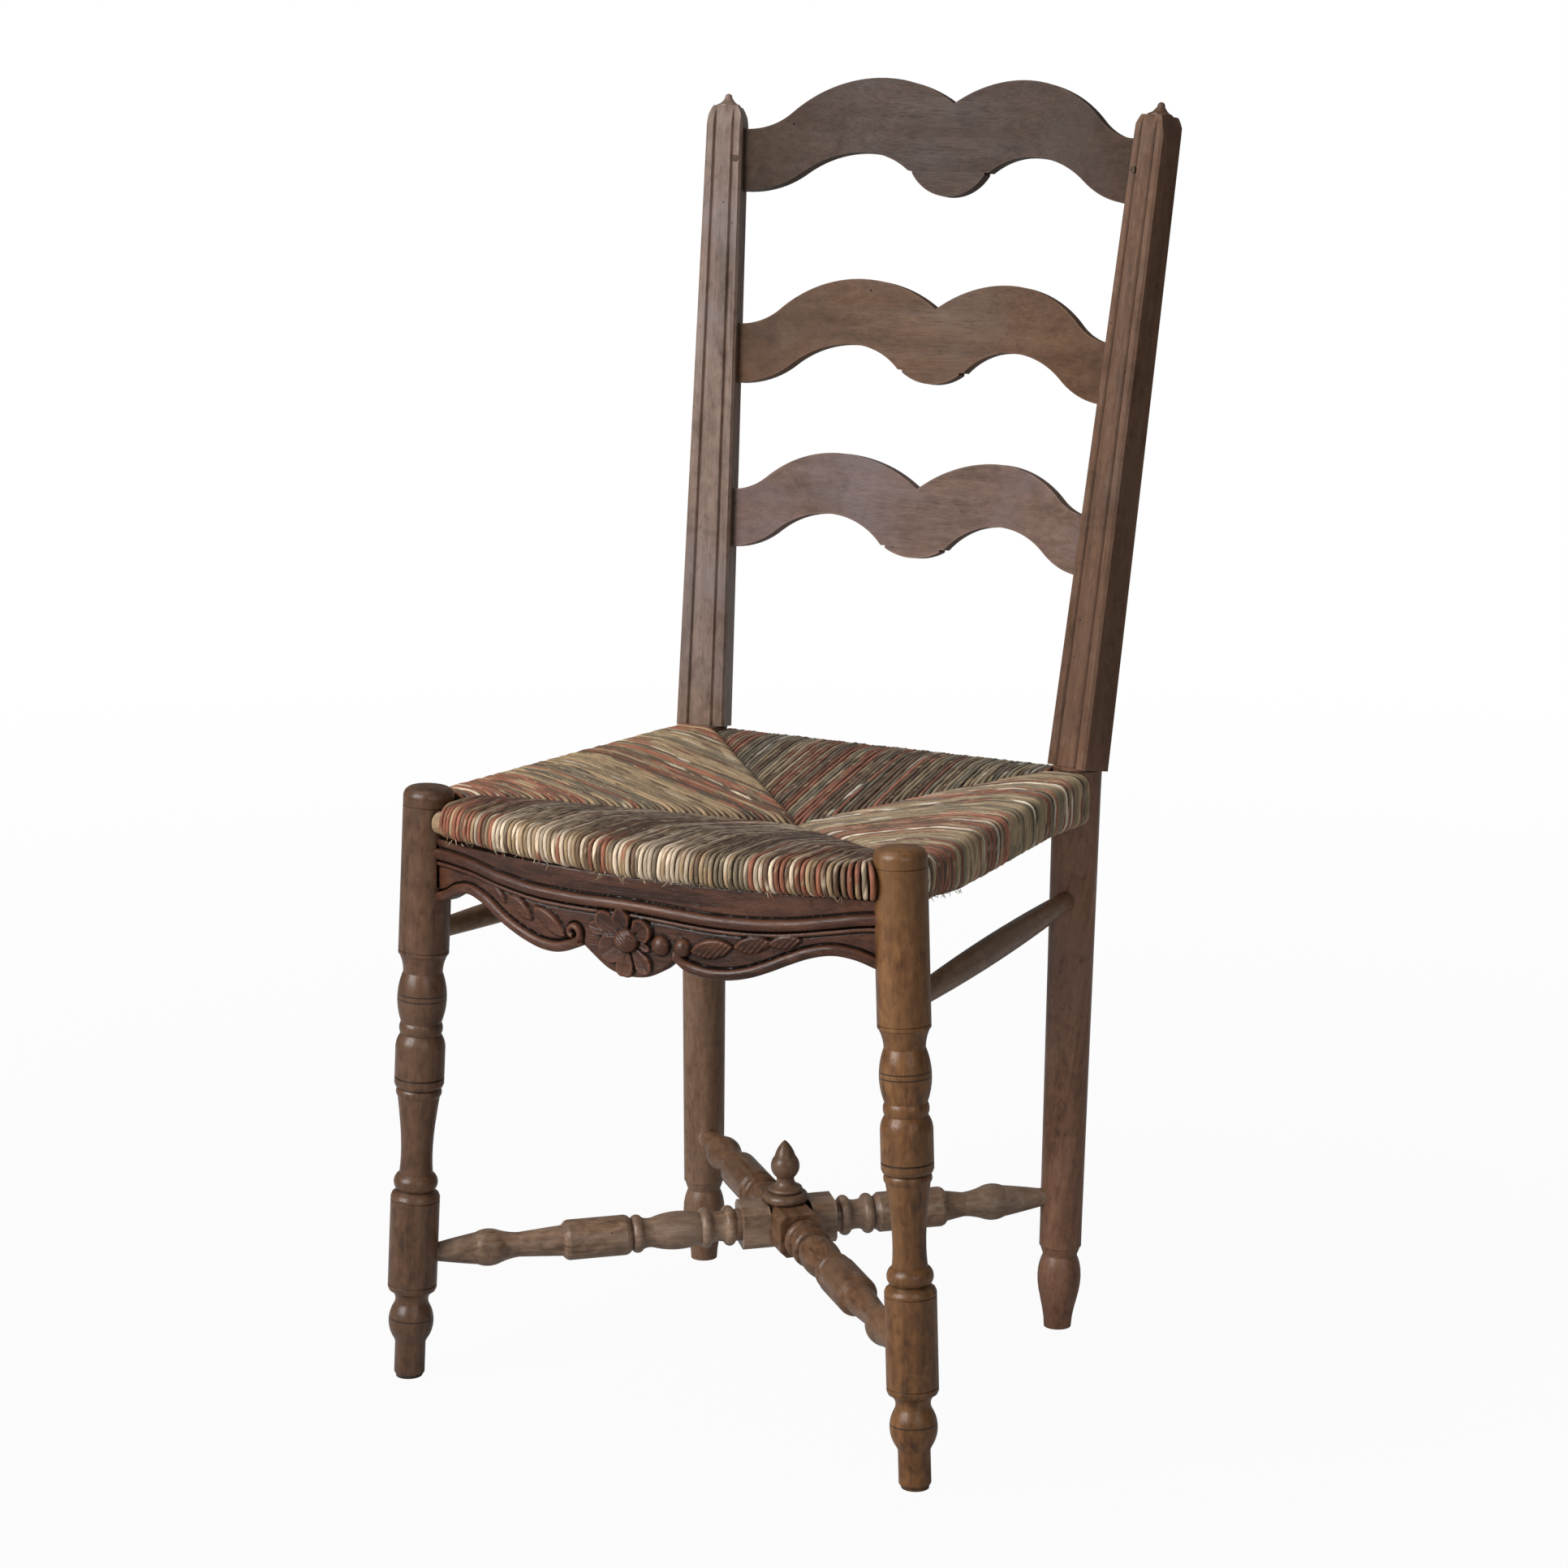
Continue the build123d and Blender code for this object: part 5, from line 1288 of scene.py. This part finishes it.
@dataclass(frozen=True)
class Leaf:
    """One carved leaf: its middle, half length, half width, tilt and cuts."""

    x: float
    z: float
    length: float
    width: float
    tilt: float
    height: float
    cuts: float


@dataclass(frozen=True)
class Petal:
    """One carved petal: its direction and half spread in degrees, its length, its lift and its cuts."""

    turn: float
    spread: float
    length: float
    inner: float
    outer: float
    cuts: float
    point: float = 2.4
    ribs: int = 4


@dataclass
class CarvedApron:
    """The bowed apron with its bead, rolled rim, leaves, berries and flower, in millimetres."""

    half_span: float = 206.4
    axis_y: float = -214.46
    sagitta: float = 33.0
    thickness: float = 15.0
    top: float = 436.7
    reach: float = 191.0
    pitch: float = 0.75
    set_back: float = 4.0
    set_back_start: float = 120.0
    set_back_run: float = 70.0
    edge_round: float = 0.6
    sharp_angle: float = 50.0
    middle_half: float = 38.5
    steepest: float = 1.2
    field_top: float = 5.0
    field_sink: float = 1.6
    field_swell: float = 0.9
    field_run: float = 12.0
    bead_half: float = 4.6
    bead_sink: float = 0.9
    bead_grooves: Points = ((5.3, 1.6), (-5.4, 1.3), (-9.6, 0.9))
    fillet_place: float = -7.4
    fillet_half: float = 1.7
    fillet_sink: float = 1.0
    rim_place: float = 3.9
    rim_half: float = 4.1
    rim_height: float = 2.9
    rim_sink: float = 0.4
    rim_groove: tuple[float, float] = (8.6, 1.9)
    leaf_sink: float = 1.2
    berry_balls: tuple[tuple[float, float, float], ...] = ((28.5, 388.3, 7.7), (46.0, 388.6, 7.0))
    berry_sink: float = 1.4
    flower_middle: tuple[float, float] = (0.5, 389.6)
    flower_sink: float = 1.2
    tip_run: float = 3.0
    tip_drop: float = 0.8
    scroll_middle: tuple[float, float] = (-46.8, 388.6)
    soft_reach: int = 6
    bead: Points = (
        (-192, 425.2), (-170, 425.4), (-149, 424.4), (-115, 419.2), (-82, 415.4), (-52, 414.7), (6, 415.1),
        (33, 413.8), (60, 411.9), (85, 411.2), (110, 411.9), (134, 414.3), (158, 418.1), (181, 421.6),
        (192, 422.4),
    )
    left_edge: Points = (
        (-192, 386.0), (-178, 390.5), (-165, 397.2), (-151.5, 400.6), (-135, 396.6), (-113, 384.2),
        (-93, 375.7), (-75, 371.2), (-62, 371.2), (-48, 375.2), (-38.5, 379.8),
    )
    middle_edge: Points = (
        (-38.5, 379.8), (-30, 373.5), (-18, 365.5), (3, 361.2), (20, 364.0), (31, 370.2), (39, 378.2),
    )
    right_edge: Points = (
        (39, 378.2), (46, 372.8), (60, 368.6), (80, 368.1), (99, 372.0), (114, 377.8), (129, 384.7),
        (143, 390.3), (160, 393.6), (174, 391.8), (192, 385.0),
    )

    def face(self, x: np.ndarray, lift: np.ndarray) -> tuple[np.ndarray, np.ndarray]:
        """Place points on the bowed face.

        Args:
            x: Stations across the chair.
            lift: Distance in front of the apron's middle surface.

        Returns:
            X and Y of the points.
        """
        radius = (self.half_span**2 + self.sagitta**2) / (2 * self.sagitta)
        centre = self.axis_y - self.sagitta + radius
        angle = np.arcsin(x / radius)
        return (radius + lift) * np.sin(angle), centre - (radius + lift) * np.cos(angle)

    def edge(self, x: np.ndarray) -> np.ndarray:
        """Height of the shaped lower edge at stations across the chair."""
        low, high = self.middle_edge[0][0], self.middle_edge[-1][0]
        left, middle, right = (flowing(row, x) for row in (self.left_edge, self.middle_edge, self.right_edge))
        return np.where(x < low, left, np.where(x < high, middle, right))

    def leaves(self) -> list[Leaf]:
        """The six leaves, the left ones first."""
        return [
            Leaf(-117.5, 406.2, 8.2, 3.8, -44, 3.0, 0.15),
            Leaf(-96.5, 400.0, 13.6, 6.2, -37, 3.8, 0.2),
            Leaf(-68.8, 393.4, 17.4, 7.2, -33, 4.3, 0.25),
            Leaf(69.0, 390.4, 17.0, 7.7, 12, 4.1, 0.55),
            Leaf(100.3, 396.6, 14.8, 6.8, 13, 3.7, 0.55),
            Leaf(124.8, 400.8, 12.6, 5.6, 12, 3.2, 0.55),
        ]

    def carve_leaf(self, leaf: Leaf, x: np.ndarray, z: np.ndarray) -> np.ndarray:
        """Height of one leaf over the field.

        Args:
            leaf: Leaf to carve.
            x: Stations across the chair.
            z: Heights above the floor.

        Returns:
            Height of the relief, 0 outside the leaf.
        """
        tilt = math.radians(leaf.tilt)
        u = (x - leaf.x) * math.cos(tilt) + (z - leaf.z) * math.sin(tilt)
        v = (z - leaf.z) * math.cos(tilt) - (x - leaf.x) * math.sin(tilt)
        width = leaf.width * np.clip(1 - (u / leaf.length) ** 2, 0, 1) ** 0.75
        inside = np.clip(width - np.abs(v), 0, None)
        tipped = 0.74 + 0.26 * np.clip(v / leaf.width, -1, 1)
        body = leaf.height * np.clip(inside / 2.2, 0, 1) ** 0.5 * tipped
        cut = 0.5 - 0.5 * np.cos(TURN * (u * 0.62 - v * 0.9) / 3.4)
        lower = np.clip(0.6 - v / leaf.width + 0.4 * u / leaf.length, 0, 1)
        return np.where(inside > 0, body - leaf.cuts * 1.5 * lower * cut**2, 0)

    def berries(self, x: np.ndarray, z: np.ndarray) -> np.ndarray:
        """Height of the two round berries beside the flower."""
        height = np.zeros_like(x)
        for bx, bz, radius in self.berry_balls:
            ball = np.clip(radius**2 - (x - bx) ** 2 - (z - bz) ** 2, 0, None)
            height = np.maximum(height, 0.85 * np.sqrt(ball))
        return height

    def petals(self) -> list[Petal]:
        """The petals of the flower, the lowest ones first."""
        return [
            Petal(168, 13, 34, 0.8, 2.4, 0.9),
            Petal(212, 36, 27, 1.2, 2.8, 1.1, ribs=9),
            Petal(343, 14, 20, 1.4, 2.6, 0.6),
            Petal(265, 21, 30, 2.0, 3.8, 0.6),
            Petal(308, 19, 30, 2.0, 3.6, 0.6),
            Petal(147, 21, 31, 1.6, 4.6, 0.2),
            Petal(33, 36, 23, 1.8, 5.0, 0.2),
            Petal(106, 27, 25, 1.8, 5.2, 0.2, 1.3),
        ]

    def carve_petal(self, petal: Petal, far: np.ndarray, turn: np.ndarray) -> np.ndarray:
        """Height of one petal over the field.

        Args:
            petal: Petal to carve.
            far: Distance from the flower's middle.
            turn: Direction from the flower's middle, in degrees.

        Returns:
            Height of the relief, 0 outside the petal.
        """
        off = np.abs((turn - petal.turn + 180) % 360 - 180) / petal.spread
        reach = petal.length * (1 - 0.3 * np.clip(off, 0, 1) ** petal.point)
        share = np.clip(far / reach, 0, 1)
        margin = np.minimum((1 - off) * math.radians(petal.spread) * far, reach - far)
        rise = petal.inner + (petal.outer - petal.inner) * share**1.6
        cuts = petal.cuts * (0.5 - 0.5 * np.cos(TURN * petal.ribs * off)) * (1 - share**2)
        fold = 0.5 * np.exp(-((off / 0.14) ** 2))
        return np.where(margin > 0, (rise - cuts - fold) * np.clip(margin / 0.9, 0, 1) ** 0.5, 0)

    def flower(self, x: np.ndarray, z: np.ndarray) -> np.ndarray:
        """Height of the flower: petals round a ribbed boss."""
        x, z = x - self.flower_middle[0], z - self.flower_middle[1]
        far, turn = np.hypot(x, z), np.degrees(np.arctan2(z, x))
        height = np.zeros_like(x)
        for petal in self.petals():
            height = np.maximum(height, self.carve_petal(petal, far, turn))
        boss = np.clip(1 - (x / 10.0) ** 2 - ((z + 0.5) / 9.0) ** 2, 0, 1)
        ribs = 0.5 * np.cos((0.8 * x + z) * TURN / 3.1)
        return over(height, boss > 0, 2.6 + 5.4 * np.sqrt(boss) + ribs * np.minimum(boss * 2, 1))

    def relief(self, x: np.ndarray, z: np.ndarray) -> np.ndarray:
        """Height of the carving in front of the apron's plain face.

        Args:
            x: Stations across the chair.
            z: Heights above the floor.

        Returns:
            The height at each point.
        """
        bead = flowing(self.bead, x[:, 0])[:, None]
        low = self.edge(x[:, 0])[:, None]
        slope = np.gradient(low[:, 0], x[:, 0])[:, None]
        rise = (z - low) / np.sqrt(1 + np.clip(slope, -self.steepest, self.steepest) ** 2)
        below = z - bead
        sunk = below < -self.field_top
        height = sunk * (self.field_swell * np.clip(1 - rise / self.field_run, 0, 1) - self.field_sink)
        ball = np.sqrt(np.clip(self.bead_half**2 - below**2, 0, None))
        height = over(height, np.abs(below) < self.bead_half, ball - self.bead_sink)
        for line, depth in self.bead_grooves:
            height = height - depth * groove(below - line)
        fillet = roll(below - self.fillet_place, self.fillet_half)
        height = over(height, fillet > 0, self.fillet_half * np.sqrt(fillet) - self.fillet_sink)
        rim = roll(rise - self.rim_place, self.rim_half)
        outside = np.abs(x) > self.middle_half
        height = over(height, (rim > 0) & outside, self.rim_height * np.sqrt(rim) - self.rim_sink)
        place, depth = self.rim_groove
        height = self.scroll(height - outside * depth * groove(rise - place), x, z)
        for leaf in self.leaves():
            body = self.carve_leaf(leaf, x, z)
            height = over(height, body > 0, body - self.leaf_sink)
        berries = self.berries(x, z)
        height = over(height, berries > 0, berries - self.berry_sink)
        bloom = self.flower(x, z)
        height = over(height, bloom > 0, bloom - self.flower_sink)
        plain = ~outside & (bloom <= 0) & (berries <= 0) & (rise < self.tip_run)
        return np.where(plain, height - self.tip_drop * (1 - rise / self.tip_run) ** 2, height)

    def scroll(self, height: np.ndarray, x: np.ndarray, z: np.ndarray) -> np.ndarray:
        """Curl the left rim's end into a small scroll.

        Args:
            height: Relief so far.
            x: Stations across the chair.
            z: Heights above the floor.

        Returns:
            The relief with the scroll.
        """
        dx, dz = x - self.scroll_middle[0], z - self.scroll_middle[1]
        far, turn = np.hypot(dx, dz), np.arctan2(dz, dx)
        arm = np.mod(turn + math.pi / 2, TURN) / TURN
        off = far - (6.6 - 4.2 * arm)
        band = roll(off, 2.5)
        cut = 1.6 * groove(off - 3.0) * (turn > -0.9) * (far < 11)
        return over(height - cut, (band > 0) & (far < 9.4), 3.3 * np.sqrt(band) - 0.6)

    def hollows(self, height: np.ndarray) -> np.ndarray:
        """Where the relief is hollow, above 0, and where it stands proud, below 0.

        Args:
            height: Relief on the grid.

        Returns:
            One value per grid point.
        """
        reach = self.soft_reach
        spread = np.exp(-((np.arange(-reach, reach + 1) / (reach / 2)) ** 2))
        spread /= spread.sum()
        soft = height
        for axis, count in enumerate(height.shape):
            padded = np.pad(soft, [(reach, reach) if k == axis else (0, 0) for k in range(2)], mode="edge")
            soft = sum(part * np.take(padded, range(k, k + count), axis) for k, part in enumerate(spread))
        return soft - height

    def build(self) -> None:
        """Make the carved board and stand it in for the plain one."""
        x = np.arange(-self.reach, self.reach + self.pitch, self.pitch)
        low = self.edge(x)
        rows = int((self.top - low.min()) / self.pitch)
        share = np.linspace(0, 1, rows)
        z = low[:, None] + (self.top - low)[:, None] * share[None, :]
        wide = np.repeat(x[:, None], rows, axis=1)
        front = self.thickness / 2 + self.relief(wide, z)
        soft = np.clip(np.minimum(share, 1 - share) * rows / 2, 0, 1)[None, :]
        retreat = np.clip((-x - self.set_back_start) / self.set_back_run, 0, 1)[:, None] ** 1.5
        front = front - self.edge_round * (1 - soft) - self.set_back * retreat
        back = np.full_like(front, -self.thickness / 2)
        sides = [np.stack([*self.face(wide, lift), z], axis=2).reshape(-1, 3) for lift in (front, back)]
        cell = np.arange(wide.size).reshape(wide.shape)
        piece = make_mesh("carved_apron", np.concatenate(sides), slab(cell.T))
        piece.data.set_sharp_from_angle(angle=math.radians(self.sharp_angle))
        # the hollow attribute drives painted shade in the carving's hollows and a painted highlight on its
        # proud parts
        hollow = piece.data.attributes.new("hollow", "FLOAT", "POINT")
        values = np.concatenate([self.hollows(front).ravel(), np.zeros(wide.size)])
        hollow.data.foreach_set("value", values.astype(np.float32))
        piece.data.materials.append(WALNUT_APRON.material("carved", Vector((1, 0, 0)), carved=True))
        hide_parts("front_apron")
        LOG.info("carved %s: %d corners", piece.name, 2 * wide.size)


@dataclass(frozen=True)
class Lamp:
    """One soft square lamp: place and side in metres, power, and whether it shows as a highlight."""

    name: str
    place: tuple[float, float, float]
    power: float
    size: float
    glare: bool = True


@dataclass
class Studio:
    """A pale floor, soft lamps and the camera at the photograph's viewing angle."""

    eye: tuple[float, float, float] = (1.43674, -2.52005, 1.08509)
    yaw: float = 29.932
    pitch: float = 12.203
    focal: float = 4670.43
    image: int = 1932
    sensor: float = 36.0
    view_end: float = 120.0
    floor_size: float = 60.0
    floor_grey: float = 0.5
    shadow_reach: float = 3.0
    shadow_core: float = 0.5
    shadow_share: float = 0.05
    ambient: float = 0.12
    aim: tuple[float, float, float] = (0.0, 0.0, 0.5)
    lamps: tuple[Lamp, ...] = (
        Lamp("window", (-1.5, -3.0, 2.2), 118.0, 2.4),
        Lamp("skylight", (-1.0, -0.4, 3.2), 15.0, 2.4),
        Lamp("side", (2.6, -2.0, 1.5), 12.0, 1.8),
        Lamp("rear", (-1.0, 3.2, 2.0), 22.0, 2.4, glare=False),
    )

    def camera(self) -> None:
        """Set up the camera."""
        data = bpy.data.cameras.new("camera")
        data.sensor_width = self.sensor
        data.lens = self.sensor * self.focal / self.image
        data.clip_end = self.view_end
        camera = bpy.data.objects.new("camera", data)
        camera.location = self.eye
        camera.rotation_euler = (math.radians(90 - self.pitch), 0, math.radians(self.yaw))
        bpy.context.scene.collection.objects.link(camera)
        bpy.context.scene.camera = camera

    def floor(self) -> None:
        """Lay the pale floor, which fades to white and keeps the chair's shadow."""
        half = self.floor_size / 2
        corners = [(-half, -half, 0), (half, -half, 0), (half, half, 0), (-half, half, 0)]
        mesh = bpy.data.meshes.new("floor")
        mesh.from_pydata(corners, [], [(0, 1, 2, 3)])
        floor = bpy.data.objects.new("floor", mesh)
        bpy.context.scene.collection.objects.link(floor)
        recipe = Recipe("pale_floor")
        grey = (*(self.floor_grey,) * 3, 1.0)
        recipe.feed(recipe.shader, {"Base Color": grey, "Roughness": 0.9, "Specular IOR Level": 0.1})
        glow = recipe.add("ShaderNodeEmission", {"Color": (1, 1, 1, 1), "Strength": 1.0})
        path = recipe.add("ShaderNodeLightPath", {})
        far = recipe.add("ShaderNodeVectorMath", {0: recipe.place()}, operation="LENGTH").outputs["Value"]
        shaded = recipe.level(far, self.shadow_reach, self.shadow_core, self.shadow_share)
        share = recipe.sum(Sum.MULTIPLY, path.outputs["Is Camera Ray"], recipe.sum(Sum.SUBTRACT, 1.0, shaded))
        mix = recipe.add("ShaderNodeMixShader", {0: share, 1: recipe.shader.outputs[0], 2: glow.outputs[0]})
        recipe.tree.links.new(mix.outputs[0], recipe.output.inputs["Surface"])
        mesh.materials.append(recipe.material)

    def sky(self) -> None:
        """Light the room evenly and show it white."""
        world = bpy.data.worlds.new("studio")
        bpy.context.scene.world = world
        world.use_nodes = True
        tree = world.node_tree
        tree.nodes.clear()
        output = tree.nodes.new("ShaderNodeOutputWorld")
        back = tree.nodes.new("ShaderNodeBackground")
        path = tree.nodes.new("ShaderNodeLightPath")
        spread = tree.nodes.new("ShaderNodeMapRange")
        spread.inputs["To Min"].default_value = self.ambient
        spread.inputs["To Max"].default_value = 1.0
        tree.links.new(path.outputs["Is Camera Ray"], spread.inputs["Value"])
        tree.links.new(spread.outputs[0], back.inputs["Strength"])
        back.inputs["Color"].default_value = (1, 1, 1, 1)
        tree.links.new(back.outputs[0], output.inputs["Surface"])

    def hang(self, lamp: Lamp) -> None:
        """Hang one lamp that faces the chair.

        Args:
            lamp: Lamp to hang.
        """
        data = bpy.data.lights.new(lamp.name, "AREA")
        data.energy = lamp.power
        data.size = lamp.size
        light = bpy.data.objects.new(lamp.name, data)
        light.location = lamp.place
        light.visible_glossy = lamp.glare
        light.rotation_euler = (Vector(self.aim) - Vector(lamp.place)).to_track_quat("-Z", "Y").to_euler()
        bpy.context.scene.collection.objects.link(light)

    def build(self) -> None:
        """Set up everything that isn't the chair."""
        bpy.context.scene.view_settings.view_transform = "Standard"
        self.camera()
        self.floor()
        self.sky()
        for lamp in self.lamps:
            self.hang(lamp)
        LOG.info("set up the studio")


def record_size() -> None:
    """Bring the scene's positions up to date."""
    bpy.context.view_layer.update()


def main() -> None:
    """Build the chair's looks piece by piece."""
    logging.basicConfig(level=logging.INFO, format="%(name)s: %(message)s")
    Studio().build()
    TurnedFrame().build()
    LadderBack().build()
    RushSeat().build()
    CarvedApron().build()
    record_size()


if __name__ == "__main__":
    main()
